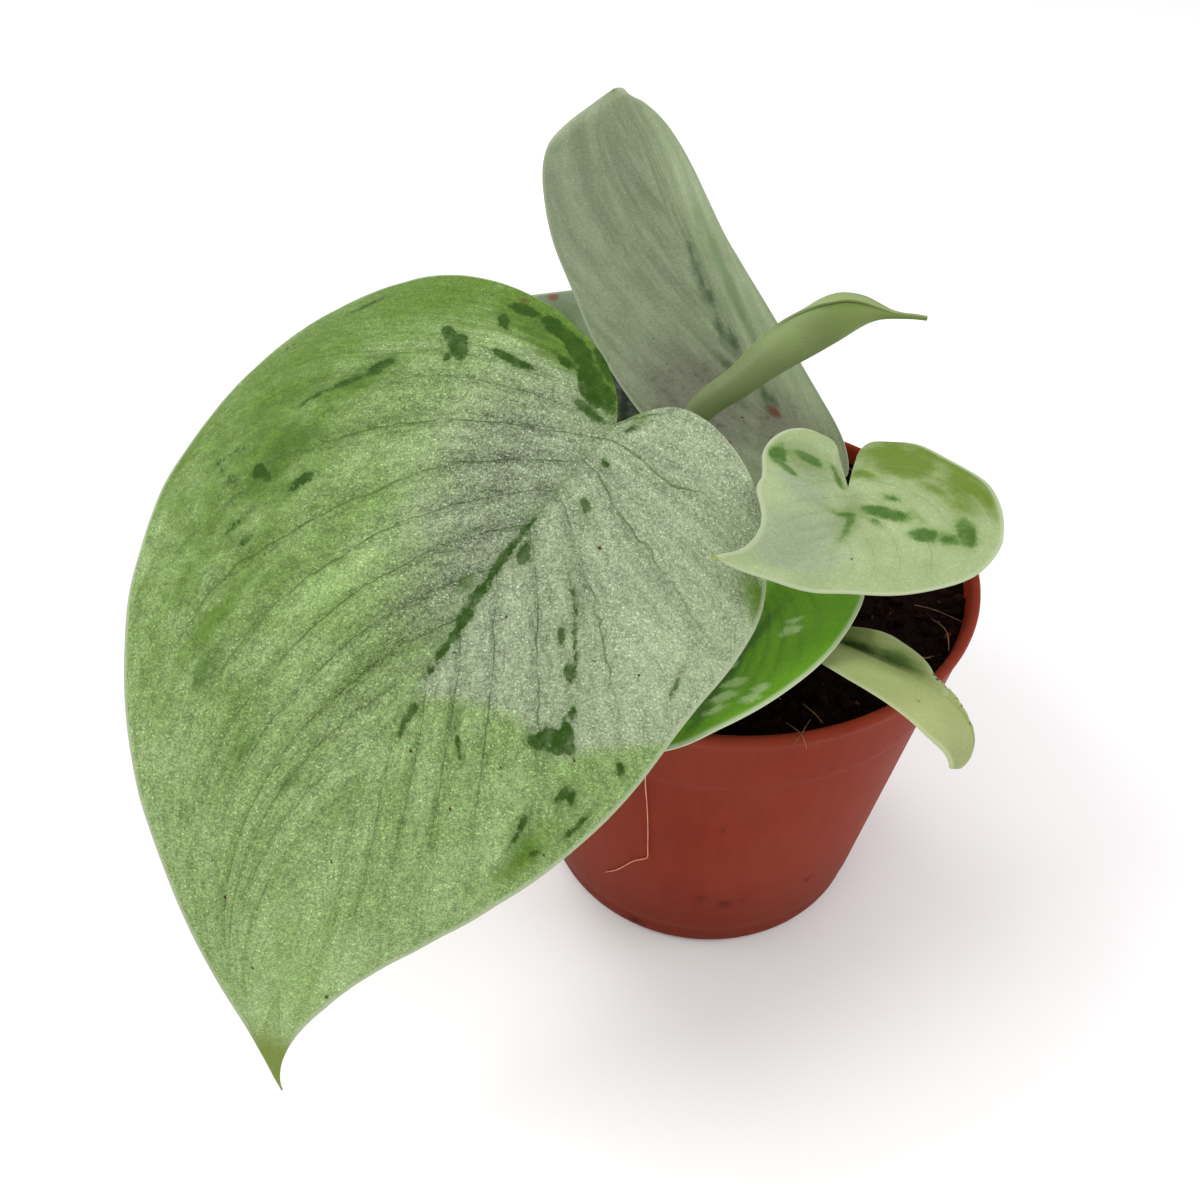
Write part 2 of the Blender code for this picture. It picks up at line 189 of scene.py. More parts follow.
wall = stepped(POT_INNER + POT_OUTER, POT_STEP)
pot = piece("nursery_pot", [(r, 0, z) for r, z in wall], [(i, i + 1) for i in range(len(wall) - 1)])
bpy.ops.object.mode_set(mode="EDIT")
bpy.ops.mesh.select_all(action="SELECT")
bpy.ops.mesh.spin(steps=POT_TURNS, angle=2 * math.pi, center=(0, 0, 0), axis=(0, 0, 1))
bpy.ops.mesh.select_all(action="SELECT")
bpy.ops.mesh.remove_doubles(threshold=0.00001)
bpy.ops.mesh.normals_make_consistent(inside=False)
bpy.ops.object.mode_set(mode="OBJECT")
for i in range(DRAIN_HOLES):
    turn = 2 * math.pi * (i + 0.5) / DRAIN_HOLES
    spot = (DRAIN_CIRCLE * MM * math.cos(turn), DRAIN_CIRCLE * MM * math.sin(turn), 0.001)
    bpy.ops.object.select_all(action="DESELECT")
    bpy.ops.mesh.primitive_cylinder_add(vertices=40, radius=DRAIN_RADIUS * MM, depth=0.006, location=spot)
    drill = bpy.context.object
    hole = pot.modifiers.new("Drain", "BOOLEAN")
    hole.object, hole.solver = drill, "EXACT"
    apply_modifiers(pot)
    bpy.data.objects.remove(drill, do_unlink=True)
only(pot)
bpy.ops.object.shade_smooth_by_angle(angle=math.radians(40))

spots = spots_of(pot)
stain = np.zeros(len(spots))
for x, y, z, reach, strength in STAINS:
    apart = np.linalg.norm((spots - (x, y, z)) / (1, 1, 0.8), axis=1) / reach
    stain = np.maximum(stain, strength * (1 - apart))
stain = np.maximum(stain, 0.35 * np.clip(1 - spots[:, 2] / 2.5, 0, 1))
mark(pot, "stain", np.clip(stain, -1, 1))

# The grime that dries on plastic and on stems: specks and blurs of soil, as a mask with broken edges
dust, given, out = new_group("soil_dust", {"Size": 0.004, "Amount": 0.3}, ["Mask"])
place = add(dust, "ShaderNodeTexCoord").outputs["Object"]
scale = sum_of(dust, "DIVIDE", 1.0, given["Size"])
lumps = add(dust, "ShaderNodeTexNoise", {"Vector": place, "Scale": scale, "Detail": 5.0, "Roughness": 0.65}).outputs["Fac"]
edge = sum_of(dust, "SUBTRACT", 0.86, sum_of(dust, "MULTIPLY", given["Amount"], 0.5))
dust.links.new(ramp(dust, lumps, edge, sum_of(dust, "ADD", edge, 0.09)), out["Mask"])

plastic, tree, shader = new_material("moulded_terracotta_plastic", Specular_IOR_Level=0.08, IOR=1.4)
place = add(tree, "ShaderNodeTexCoord").outputs["Object"]
upright = add(tree, "ShaderNodeMapping", {"Vector": place, "Scale": (1, 1, 0.04)}).outputs[0]
streak = cloud(tree, upright, 0.0016, 3)
broad = cloud(tree, place, 0.028, 2)
fine = cloud(tree, place, 0.00035, 2)
colour = over(tree, ramp(tree, streak, 0.3, 0.7), POT_DARK, POT_BROWN)
colour = over(tree, sum_of(tree, "MULTIPLY", ramp(tree, broad, 0.35, 0.75), 0.35), colour, POT_CHALKY)
colour = over(tree, use_group(tree, dust, Size=0.0011, Amount=0.34)["Mask"], colour, POT_CHALKY)
broken = sum_of(tree, "ADD", seen(tree, "stain"), sum_of(tree, "SUBTRACT", cloud(tree, place, 0.0014, 4, 0.7), 0.62))
grime = sum_of(tree, "MULTIPLY", ramp(tree, broken, 0.0, 0.75), 0.8)
colour = over(tree, grime, colour, SOIL_STAIN)
level = add(tree, "ShaderNodeSeparateXYZ", {0: place}).outputs["Z"]
colour = over(tree, ramp(tree, level, 0.004, 0.024, 0.35, 0.0), colour, POT_FOOT_SHADE)  # painted shade: the wall darker towards its foot
tree.links.new(colour, shader.inputs["Base Color"])
rough = sum_of(tree, "ADD", ramp(tree, broad, 0.2, 0.8, 0.46, 0.60), sum_of(tree, "MULTIPLY", grime, 0.3))
tree.links.new(rough, shader.inputs["Roughness"])
height = sum_of(tree, "ADD", fine, sum_of(tree, "MULTIPLY", streak, 0.6))
tree.links.new(bump(tree, height, 0.00003, 0.35), shader.inputs["Normal"])
pot.data.materials.append(plastic)
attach(pot, "root")
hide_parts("pot")

# Soil: dark peat and coir mix filled nearly to the brim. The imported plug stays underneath; on it lie a
# lumpy bed, loose crumbs and bits of bark, and coir fibres of which a few reach over the lip.
BED_REACH = 33.6
BED_LEVEL = 55.3
BED_CROWN = 1.0
CRUMBS = 2600
CRUMB_SIZES = (0.22, 1.0)
FIBRES = 60
PEAT = (0.0045, 0.0017, 0.0011, 1)
PEAT_BROWN = (0.014, 0.0048, 0.0028, 1)
BARK = (0.095, 0.034, 0.016, 1)
COIR = (0.260, 0.125, 0.055, 1)
chance = random.Random(7)


def bed_height(x, y):
    """Height of the lumpy bed (mm)."""
    across = math.hypot(x, y) / BED_REACH
    lump = noise.noise(Vector((x / 5, y / 5, 1.3))) * 0.55 + noise.noise(Vector((x / 1.8, y / 1.8, 4.1))) * 0.42
    grain = noise.noise(Vector((x / 0.75, y / 0.75, 7.7))) * 0.22
    return BED_LEVEL + BED_CROWN * (1 - across ** 2) + lump + grain


bpy.ops.object.select_all(action="DESELECT")
bpy.ops.mesh.primitive_grid_add(x_subdivisions=190, y_subdivisions=190, size=2 * BED_REACH * MM)
bed = bpy.context.object
bed.name = "soil_bed"
spots = spots_of(bed)
bpy.ops.object.mode_set(mode="EDIT")
bpy.ops.mesh.select_all(action="DESELECT")
bpy.ops.object.mode_set(mode="OBJECT")
for vertex, spot in zip(bed.data.vertices, spots):
    vertex.select = math.hypot(spot[0], spot[1]) > BED_REACH
bpy.ops.object.mode_set(mode="EDIT")
bpy.ops.mesh.delete(type="VERT")
bpy.ops.object.mode_set(mode="OBJECT")
spots = spots_of(bed)
spots[:, 2] = [bed_height(x, y) for x, y, _ in spots]
put_spots(bed, spots)
depth = bed.modifiers.new("Depth", "SOLIDIFY")
depth.thickness, depth.offset = 0.6 * MM, -1
apply_modifiers(bed)
bpy.ops.object.shade_smooth()

# Four crumbs are modelled, then laid out as copies that are turned and sized one by one
crumb_kinds = []
for kind in range(4):
    bpy.ops.object.select_all(action="DESELECT")
    bpy.ops.mesh.primitive_ico_sphere_add(subdivisions=2 if kind < 1 else 1, radius=1)
    lump = bpy.context.object
    shape = np.array([v.co for v in lump.data.vertices])
    dents = [1 + 0.75 * noise.noise(Vector(p) * 1.3 + Vector((9 * kind, 0, 0))) for p in shape]
    shape = shape * np.array(dents)[:, None] * (1, 0.75, 0.62 if kind < 3 else 0.4)
    crumb_kinds.append((shape, np.array([p.vertices for p in lump.data.polygons])))
    bpy.data.objects.remove(lump, do_unlink=True)
points, faces, tones, start = [], [], [], 0
for i in range(CRUMBS):
    shape, sides = crumb_kinds[chance.choice((0, 1, 1, 1, 2, 2, 2, 3))]
    size = CRUMB_SIZES[0] + (CRUMB_SIZES[1] - CRUMB_SIZES[0]) * chance.random() ** 3.2
    reach, turn = 32.6 * math.sqrt(chance.random()), 2 * math.pi * chance.random()
    if i % 5 == 0:
        reach = 29.5 + 3.2 * chance.random()  # the rim's edge is filled a little higher
    spin = np.array(Vector((0, 0, 1)).rotation_difference(Vector((chance.gauss(0, 0.5), chance.gauss(0, 0.5), 1))).to_matrix())
    x, y = reach * math.cos(turn), reach * math.sin(turn)
    heading = 2 * math.pi * chance.random()
    level = np.array([(math.cos(heading), -math.sin(heading), 0), (math.sin(heading), math.cos(heading), 0), (0, 0, 1)])
    laid = shape @ (spin @ level).T * size
    points.append(laid + (x, y, bed_height(x, y) + 0.28 * size))
    faces.append(sides + start)
    tones += [chance.random()] * len(shape)
    start += len(shape)
crumbs = piece("soil_crumbs", np.concatenate(points), (), [tuple(f) for group in faces for f in group.tolist()])
mark(crumbs, "tone", tones)
bpy.ops.object.shade_smooth_by_angle(angle=math.radians(50))


def strand(paths, name, resolution=2, sides=1):
    """Thin round strands along paths of (x, y, z, radius) in mm, as one mesh."""
    curve = bpy.data.curves.new(name, "CURVE")
    curve.dimensions = "3D"
    curve.bevel_depth = 1.0
    curve.bevel_resolution = sides
    curve.use_fill_caps = True
    curve.resolution_u = resolution
    for path in paths:
        spline = curve.splines.new("NURBS")
        spline.points.add(len(path) - 1)
        spline.order_u = 3
        spline.use_endpoint_u = True
        for point, (x, y, z, radius) in zip(spline.points, path):
            point.co = (x * MM, y * MM, z * MM, 1)
            point.radius = radius * MM
    guide = bpy.data.objects.new(name + "_guide", curve)
    bpy.context.scene.collection.objects.link(guide)
    graph = bpy.context.evaluated_depsgraph_get()
    mesh = bpy.data.meshes.new_from_object(guide.evaluated_get(graph))
    bpy.data.objects.remove(guide, do_unlink=True)
    obj = bpy.data.objects.new(name, mesh)
    bpy.context.scene.collection.objects.link(obj)
    only(obj)
    bpy.ops.object.mode_set(mode="EDIT")
    bpy.ops.mesh.select_all(action="SELECT")
    bpy.ops.mesh.remove_doubles(threshold=0.000002)
    bpy.ops.mesh.normals_make_consistent(inside=False)
    bpy.ops.object.mode_set(mode="OBJECT")
    bpy.ops.object.shade_smooth()
    return obj


paths = []
for i in range(FIBRES):
    reach, turn, heading = 31.5 * math.sqrt(chance.random()), 2 * math.pi * chance.random(), 2 * math.pi * chance.random()
    x, y = reach * math.cos(turn), reach * math.sin(turn)
    thick = 0.05 + 0.06 * chance.random()
    path, stride = [], 0.9 + 0.8 * chance.random()
    for k in range(chance.randint(4, 8)):
        if math.hypot(x, y) > 32.4:
            break
        path.append((x, y, bed_height(x, y) + 0.25 + 0.5 * chance.random(), thick))
        heading += chance.gauss(0, 0.45)
        x, y = x + stride * math.cos(heading), y + stride * math.sin(heading)
    if len(path) > 3:
        paths.append(path)
paths += [
    [(5.2, -30.6, 56.4, 0.08), (5.9, -32.4, 57.4, 0.08), (6.3, -33.9, 58.25, 0.07), (6.8, -35.1, 58.1, 0.07), (7.0, -35.35, 56.9, 0.05)],
    [(8.4, -29.8, 56.3, 0.07), (7.5, -31.6, 57.3, 0.07), (6.8, -33.4, 58.2, 0.06), (5.8, -35.0, 58.2, 0.06), (5.2, -35.3, 57.3, 0.05)],
    [(7.6, -27.5, 56.4, 0.10), (8.0, -29.5, 57.6, 0.09), (8.6, -31.0, 58.2, 0.08), (9.2, -32.0, 57.9, 0.07)],
    [(26.8, -12.0, 56.2, 0.09), (27.6, -14.0, 57.0, 0.09), (27.9, -16.4, 57.4, 0.08), (27.4, -18.8, 56.9, 0.06)],
    [(25.2, -9.0, 56.0, 0.08), (26.9, -10.6, 56.9, 0.08), (28.9, -12.4, 57.1, 0.07), (30.6, -13.0, 56.6, 0.06)],
]
fibres = strand(paths, "soil_fibres")

earth, tree, shader = new_material("peat_and_coir", Specular_IOR_Level=0.03)
place = add(tree, "ShaderNodeTexCoord").outputs["Object"]
grains = cloud(tree, place, 0.0007, 6, 0.7)
patches = cloud(tree, place, 0.006, 3)
colour = over(tree, ramp(tree, grains, 0.42, 0.72), PEAT, PEAT_BROWN)
colour = over(tree, sum_of(tree, "MULTIPLY", ramp(tree, patches, 0.5, 0.8), ramp(tree, grains, 0.5, 0.8)), colour, BARK)
tree.links.new(colour, shader.inputs["Base Color"])
tree.links.new(ramp(tree, patches, 0.3, 0.7, 0.72, 0.95), shader.inputs["Roughness"])
tree.links.new(bump(tree, grains, 0.0004, 0.8), shader.inputs["Normal"])
loose, tree, shader = new_material("soil_crumb", Specular_IOR_Level=0.03)
place = add(tree, "ShaderNodeTexCoord").outputs["Object"]
grains = cloud(tree, place, 0.0004, 4, 0.7)
tone = seen(tree, "tone")
colour = over(tree, ramp(tree, tone, 0.0, 0.85), PEAT, PEAT_BROWN)
colour = over(tree, ramp(tree, tone, 0.95, 0.98), colour, BARK)
colour = over(tree, sum_of(tree, "MULTIPLY", ramp(tree, grains, 0.5, 0.75), 0.45), colour, PEAT_BROWN)
tree.links.new(colour, shader.inputs["Base Color"])
tree.links.new(ramp(tree, grains, 0.3, 0.7, 0.65, 0.92), shader.inputs["Roughness"])
tree.links.new(bump(tree, grains, 0.0002, 0.7), shader.inputs["Normal"])
husk, tree, shader = new_material("coir_fibre", Specular_IOR_Level=0.3)
place = add(tree, "ShaderNodeTexCoord").outputs["Object"]
shade = cloud(tree, place, 0.002, 3)
tree.links.new(over(tree, ramp(tree, shade, 0.35, 0.65), BARK, COIR), shader.inputs["Base Color"])
tree.links.new(ramp(tree, shade, 0.3, 0.7, 0.55, 0.8), shader.inputs["Roughness"])
for obj, finish in ((bed, earth), (crumbs, loose), (fibres, husk)):
    obj.data.materials.clear()
    obj.data.materials.append(finish)
    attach(obj, "root")
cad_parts["soil"].data.materials.clear()
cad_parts["soil"].data.materials.append(earth)

# Loose coir fibre: one pale fibre that fell over the lip and lies against the outside of the pot, kinked
# where it was bent in the mix.
FALLEN = [(-10.9, -30.6, 57.4, 0.08), (-11.3, -33.0, 58.2, 0.08), (-11.6, -33.6, 57.4, 0.08), (-11.6, -32.6, 52, 0.08),
          (-11.5, -30.6, 45.2, 0.08), (-11.0, -29.7, 39.1, 0.08), (-10.7, -28.75, 32.6, 0.08),
          (-10.6, -28.1, 28.1, 0.08), (-10.5, -27.7, 26.0, 0.08), (-10.5, -27.6, 25.0, 0.08),
          (-10.9, -27.3, 24.3, 0.08), (-12.1, -26.6, 23.0, 0.075), (-12.9, -26.0, 21.6, 0.075),
          (-14.2, -24.8, 18.5, 0.07), (-15.3, -23.7, 16.2, 0.07), (-16.4, -22.6, 14.4, 0.05)]
FALLEN_COLOUR = (0.62, 0.24, 0.10, 1)
FALLEN_PALE = (0.75, 0.36, 0.18, 1)
fallen = strand([FALLEN], "fallen_fibre", 6, 2)
pale, tree, shader = new_material("pale_coir", Specular_IOR_Level=0.3)
place = add(tree, "ShaderNodeTexCoord").outputs["Object"]
shade = cloud(tree, place, 0.003, 3)
tree.links.new(over(tree, ramp(tree, shade, 0.35, 0.65), FALLEN_COLOUR, FALLEN_PALE), shader.inputs["Base Color"])
tree.links.new(ramp(tree, shade, 0.3, 0.7, 0.5, 0.7), shader.inputs["Roughness"])
fallen.data.materials.append(pale)
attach(fallen, "root")

# Vines: two short stems that stand in the soil. Each is ringed and swollen at its nodes, and carries the stubs
# of resting air roots there.
VINES = {
    "vine_tall": [(-4, 5, 50, 1.7), (-4, 5, 55, 1.7), (-4.05, 5.02, 58, 1.75), (-4.15, 5.1, 60.3, 1.95),
                  (-4.2, 5.1, 61, 2.15), (-4.25, 5.1, 61.7, 1.95), (-4.4, 5.1, 64, 1.65), (-4.7, 5.05, 67.5, 1.62),
                  (-4.9, 4.9, 70, 1.9), (-5, 4.8, 71, 2.12), (-5.02, 4.75, 71.8, 1.95), (-5.1, 4.6, 73.4, 1.6)],
    "vine_short": [(13.5, 0.5, 50, 1.6), (13.5, 0.5, 56, 1.6), (13.55, 0.55, 59.4, 1.75), (13.6, 0.6, 60.5, 2.05),
                   (13.65, 0.65, 61.3, 1.85), (13.8, 0.8, 63, 1.45)],
}
AIR_ROOTS = {
    "vine_tall": [[(-5.6, 4.2, 60.8, 0.6), (-6.4, 3.6, 60.5, 0.5), (-7.0, 3.2, 59.9, 0.34)],
                  [(-2.6, 5.6, 61.2, 0.6), (-1.9, 6.0, 61.1, 0.48), (-1.4, 6.3, 60.7, 0.3)],
                  [(-3.6, 5.8, 71.1, 0.5), (-3.0, 6.3, 71.0, 0.4), (-2.6, 6.6, 70.7, 0.24)]],
    "vine_short": [[(12.2, 0.2, 60.3, 0.55), (11.5, -0.1, 60.0, 0.45), (11.0, -0.3, 59.4, 0.28)]],
}
VINE_GREEN = (0.150, 0.235, 0.060, 1)
VINE_DARK = (0.085, 0.120, 0.035, 1)
VINE_SCAR = (0.200, 0.110, 0.050, 1)

bark, tree, shader = new_material("vine_skin", Specular_IOR_Level=0.3)
place = add(tree, "ShaderNodeTexCoord").outputs["Object"]
long_way = add(tree, "ShaderNodeMapping", {"Vector": place, "Scale": (1, 1, 0.2)}).outputs[0]
ribs = cloud(tree, long_way, 0.0006, 4)
blush = cloud(tree, place, 0.004, 3)
colour = over(tree, ramp(tree, ribs, 0.35, 0.65), VINE_DARK, VINE_GREEN)
colour = over(tree, ramp(tree, blush, 0.52, 0.78), colour, VINE_SCAR)
colour = over(tree, use_group(tree, dust, Size=0.0012, Amount=0.55)["Mask"], colour, SOIL_STAIN)
tree.links.new(colour, shader.inputs["Base Color"])
tree.links.new(ramp(tree, ribs, 0.3, 0.7, 0.42, 0.62), shader.inputs["Roughness"])
tree.links.new(bump(tree, ribs, 0.00015, 0.7), shader.inputs["Normal"])
for name, path in VINES.items():
    stem = strand([path] + AIR_ROOTS[name], name + "_stem", 6, 10)
    stem.data.materials.append(bark)
    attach(stem, "root")
    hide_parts(name)

# Leaves: thick soft hearts with a satin bloom of silver, each grown as one with its stalk, which runs on
# under the blade as its midrib. Veins leave the midrib and bend towards the tip, and the bloom is broken
# by deep green patches. Each blade is a flat heart (mm) laid along a bent midrib (degrees).
LEAVES = {
    "leaf_main": dict(at=(-15.4, -16, 89.3), yaw=-133, pitch=-21, roll=-24, length=97.5, left=27.7,
                      right=43.6, lobe_left=7.8, lobe_right=5.8, droop=56, droop_power=1.5, twist=-25,
                      fold_left=-10, fold_right=16, curl_left=5, curl_right=68, sweep=0.19, widest=0.17,
                      lobe_width=0.3, tip_draw=0.36, sinus=0.65, belly=0.56, quilt=0.6, valley=0.6,
                      rows=230, columns=86),
    "leaf_back": dict(at=(12.5, 10.7, 64.7), yaw=132.7, pitch=38.5, roll=-29.4, length=58.9, left=18.0,
                      right=8.1, lobe_left=4, lobe_right=4, droop=-13.6, droop_power=1.5, twist=-18,
                      fold_left=10.6, fold_right=43.8, curl_left=2, curl_right=15, sweep=-0.063, widest=0.55,
                      lobe_width=0.48, tip_draw=0, sinus=0.55, belly=0.88, blunt=0.4, quilt=0.05,
                      valley=0.3, rib_line=0.05, crease=1.5, tip_flat=0.03, rows=150, columns=50),
    "leaf_right": dict(at=(12.5, -12.8, 78), yaw=262, pitch=-3.4, roll=15.7, length=29.1, left=18,
                       right=12.4, lobe_left=8.3, lobe_right=8.1, droop=-25, droop_power=1.5, twist=-38.9,
                       fold_left=-1, fold_right=43.7, curl_left=13, curl_right=22, sweep=-0.53, widest=0.205,
                       lobe_width=0.33, tip_draw=0.12, sinus=1.08, belly=0.26, quilt=0.12,
                       ripple=0.05, crease=2.5, rib_line=0, rows=120, columns=56),
    "leaf_under": dict(at=(5.5, -12.6, 62.5), yaw=232, pitch=0, roll=-1, length=31.4, left=13.0,
                       right=13.0, lobe_left=6.6, lobe_right=5.0, droop=7, droop_power=1.5, twist=0,
                       fold_left=11, fold_right=8, curl_left=-9, curl_right=8, sweep=0.10, widest=0.25,
                       lobe_width=0.52, tip_draw=0.02, sinus=0.55, belly=0.56, rows=110, columns=48),
    "leaf_young": dict(at=(11.2, -19.4, 59.4), yaw=-44.6, pitch=9.9, roll=-33.5, length=27.4, left=3.1,
                       right=8.4, lobe_left=0.2, lobe_right=0.2, droop=118, droop_power=5.5, twist=2.6,
                       fold_left=65, fold_right=-1, curl_left=0, curl_right=12, sweep=-0.15, widest=0.32,
                       lobe_width=0.6, tip_draw=-0.03, sinus=0.55, belly=0.96, blunt=0.2, quilt=0.05,
                       valley=0.0, rib_line=0, crease=0.4, groove=(0.9, 0.6, 0.8), rows=110, columns=30),
    "leaf_behind": dict(at=(-14.6, 13.0, 65.6), yaw=125, pitch=19, roll=-16, length=46.1, left=17.0,
                        right=17.0, lobe_left=6.0, lobe_right=6.0, droop=32, droop_power=1.5, twist=0,
                        fold_left=10, fold_right=10, curl_left=8, curl_right=8, sweep=0.0, widest=0.28,
                        lobe_width=0.50, tip_draw=0.30, sinus=0.55, belly=0.42, rows=110, columns=44),
}
# Where a real margin swells out of the plain heart or shrinks into it: its half, how far along, how far it
# reaches (both as shares of the margin's way to the tip) and how much of the half's width it adds
SWELLS = {
    "leaf_main": [("left", 0.20, 0.05, 0.03), ("left", 0.30, 0.05, -0.02), ("left", 0.85, 0.10, 0.07), ("right", 0.70, 0.10, 0.02), ("right", 0.91, 0.05, -0.11)],
    "leaf_back": [("left", 0.12, 0.09, -0.10), ("left", 0.38, 0.10, -0.035), ("left", 0.70, 0.17, 0.085), ("right", 0.10, 0.06, 0.09),
                  ("right", 0.33, 0.09, -0.11), ("right", 0.82, 0.17, -0.08)],
    "leaf_behind": [("right", 0.50, 0.35, 0.17)],
    "leaf_right": [("left", 0.11, 0.09, -0.14), ("left", 0.48, 0.08, 0.06), ("left", 0.69, 0.07, -0.16),
                   ("left", 0.91, 0.045, 0.22), ("right", 0.32, 0.10, -0.10), ("right", 0.60, 0.12, -0.05),
                   ("right", 0.89, 0.055, 0.22)],
    "leaf_young": [("left", 0.25, 0.10, 0.22), ("left", 0.50, 0.12, -0.40), ("left", 0.74, 0.15, -0.95),
                   ("right", 0.45, 0.15, 0.19), ("right", 0.20, 0.08, 0.04), ("right", 0.90, 0.08, 0.10)],
}
BLADE = 0.45  # mm, thickness in the middle
SINUS_OPEN = 1.2
TIP_FLAT = 0.20
NOTCH_FLAT = 0.06
LOBE_SHARE = 0.3
RIB_POWER = 1.4
CREASE = 0.9
MIDRIB = [(0.0, 1.0, 0.95), (0.12, 0.75, 0.72), (0.3, 0.55, 0.52), (0.55, 0.42, 0.38), (0.8, 0.3, 0.26)]
MIDRIB_STEPS = 20
# How veins run: how fast they gain on the tip as they leave the midrib, at its base and further on, how
# that eases off, and how they turn along the margin; then how many there are
VEINS = {
    "leaf_main": dict(left=(0.12, 1.3), right=(0.55, 1.4), ease=0.30, turn=0.22, count=15),
    "leaf_back": dict(left=(0.55, 1.2), right=(0.55, 1.2), ease=0.25, turn=0.22, count=16),
    "leaf_right": dict(left=(0.30, 0.9), right=(0.35, 0.9), ease=0.15, turn=0.25, count=11),
    "leaf_under": dict(left=(0.40, 1.1), right=(0.40, 1.1), ease=0.2, turn=0.25, count=14),
    "leaf_young": dict(left=(0.70, 1.2), right=(0.70, 1.2), ease=0.2, turn=0.2, count=12),
    "leaf_behind": dict(left=(0.45, 1.2), right=(0.45, 1.2), ease=0.25, turn=0.22, count=16),
}
# Patches without bloom: along the midrib, out from it, half length, half width (mm) and turn (degrees)
PATCHES = {
    "leaf_main": [
        (4, -21.5, 0.8, 1.1, 155), (5, -19, 1.9, 1, 55), (4, -19.5, 0.9, 0.9, 145), (7, -19, 0.5, 0.6, 100),
        (-1, -17.5, 1.1, 0.6, 55), (2.5, -13.5, 2.5, 0.5, 105), (-3.5, -16.5, 2, 0.7, 105),
        (-4, -12, 2.3, 0.9, 90), (-3.5, -8.5, 2.3, 1.1, 75), (-1.5, -5, 2.7, 1.5, 60),
        (-4.5, -5.5, 2.3, 0.8, 65), (-1.5, -3, 2, 1.2, 70), (1, -4, 1.1, 0.6, 100),
        (-1.5, -9, 1.3, 0.5, 80), (1, -2.5, 1.1, 0.5, 105), (5.5, -35, 1.7, 0.3, 145),
        (12, -25, 1.8, 0.7, 155), (16, -27, 2.4, 0.5, 150), (19, -28.5, 1.7, 0.4, 160),
        (27.5, -22.5, 1.9, 0.6, 155), (29.5, -28, 0.9, 0.8, 160), (29.5, -26.5, 1.1, 0.5, 100),
        (30.5, -33, 1.4, 0.25, 165), (32, -32.5, 1.2, 0.25, 70), (32, -30.5, 1.2, 0.2, 100),
        (27.5, -31, 1.7, 0.2, 155), (35.5, -26, 2.1, 0.25, 165), (36, -24, 0.8, 0.4, 150),
        (18, 1.5, 1.3, 0.6, 10), (21, 0, 7, 0.5, 0), (28.5, 0.5, 5.5, 0.5, 0), (9.5, 3.5, 0.8, 0.5, 55),
        (4.5, 2, 0.6, 0.3, 80), (18, 8.5, 1.7, 0.3, 50), (22, 10, 1, 0.4, 40), (21.5, 11.5, 2.7, 0.2, 40),
        (24.5, 13, 1, 0.6, 50), (32.5, 14.5, 1.3, 0.9, 115), (31, 15.5, 1.4, 0.9, 110),
        (29.5, 16.5, 1.4, 0.8, 55), (27.5, 16, 0.9, 0.4, 60), (32, 16.5, 1.3, 0.5, 120),
        (31, 18, 0.8, 0.4, 115), (38.5, 1, 1.2, 0.5, 5), (40, 1, 1.1, 0.3, 10), (-0.5, 1.5, 0.8, 0.3, 160),
        (29, 24, 0.8, 0.5, 55), (35.5, 20, 1.1, 0.5, 0), (35, 21, 0.8, 0.4, 10), (41, 18, 1, 0.5, 175),
        (43, 18, 1.3, 0.25, 0), (37, 23.5, 1.4, 0.3, 170), (38.5, 23, 0.8, 0.25, 170),
        (38, 7, 1.5, 0.25, 40), (17.5, 23.5, 1.3, 0.2, 15), (43, 21, 0.8, 0.3, 145)],
    "leaf_back": [
        (30.5, 0, 2, 0.5, 165), (28, 0, 1.2, 0.6, 170), (23, 1, 1.8, 0.5, 170), (21, 0, 1.8, 0.6, 170),
        (18.5, 2.5, 1.2, 0.5, 15), (12, 0, 1.5, 0.6, 170), (11, -0.5, 1.1, 0.6, 10),
        (15.5, 0, 1.3, 0.4, 170), (34, -0.5, 1.7, 0.3, 160)],
    "leaf_right": [
        (-0.5, -9.5, 2.1, 1.1, 170), (2, -8.5, 1.5, 0.7, 50), (-2, -5.5, 2, 0.9, 80),
        (-1, -1.5, 1.7, 0.5, 25), (6, 0, 1.9, 0.4, 90), (8, 1, 2.4, 0.4, 0), (5, 4.5, 3, 0.9, 85),
        (2.5, 5, 0.8, 0.4, 80), (6.5, 3.5, 0.6, 0.4, 60), (7.5, 9.5, 1.7, 0.9, 90), (7.5, 12, 1.3, 0.6, 90),
        (6.5, 14, 1.8, 1, 30)],
    "leaf_under": [
        (7.5, 6.5, 1.5, 0.8, 145), (5.5, 6, 1, 0.4, 140), (16.5, 2.5, 1.3, 0.6, 160),
        (18.5, 4.5, 1.6, 0.7, 135), (21, 4.5, 1.8, 0.7, 140), (20, 7.5, 1.4, 0.6, 130),
        (18, 8, 1, 0.5, 135), (23, 4.5, 1.5, 0.4, 140)],
    "leaf_young": [],
    "leaf_behind": [
        # The first of these is painted shadow: the dark gap at the base, between the leaves in front
        (5.5, -5.5, 7, 4.5, 10), (14, 5, 1.4, 0.6, 40), (20, 9, 1.8, 0.5, 35), (33, 4, 1.2, 0.4, 20),
        (10, -8, 1.5, 0.5, 150)],
}
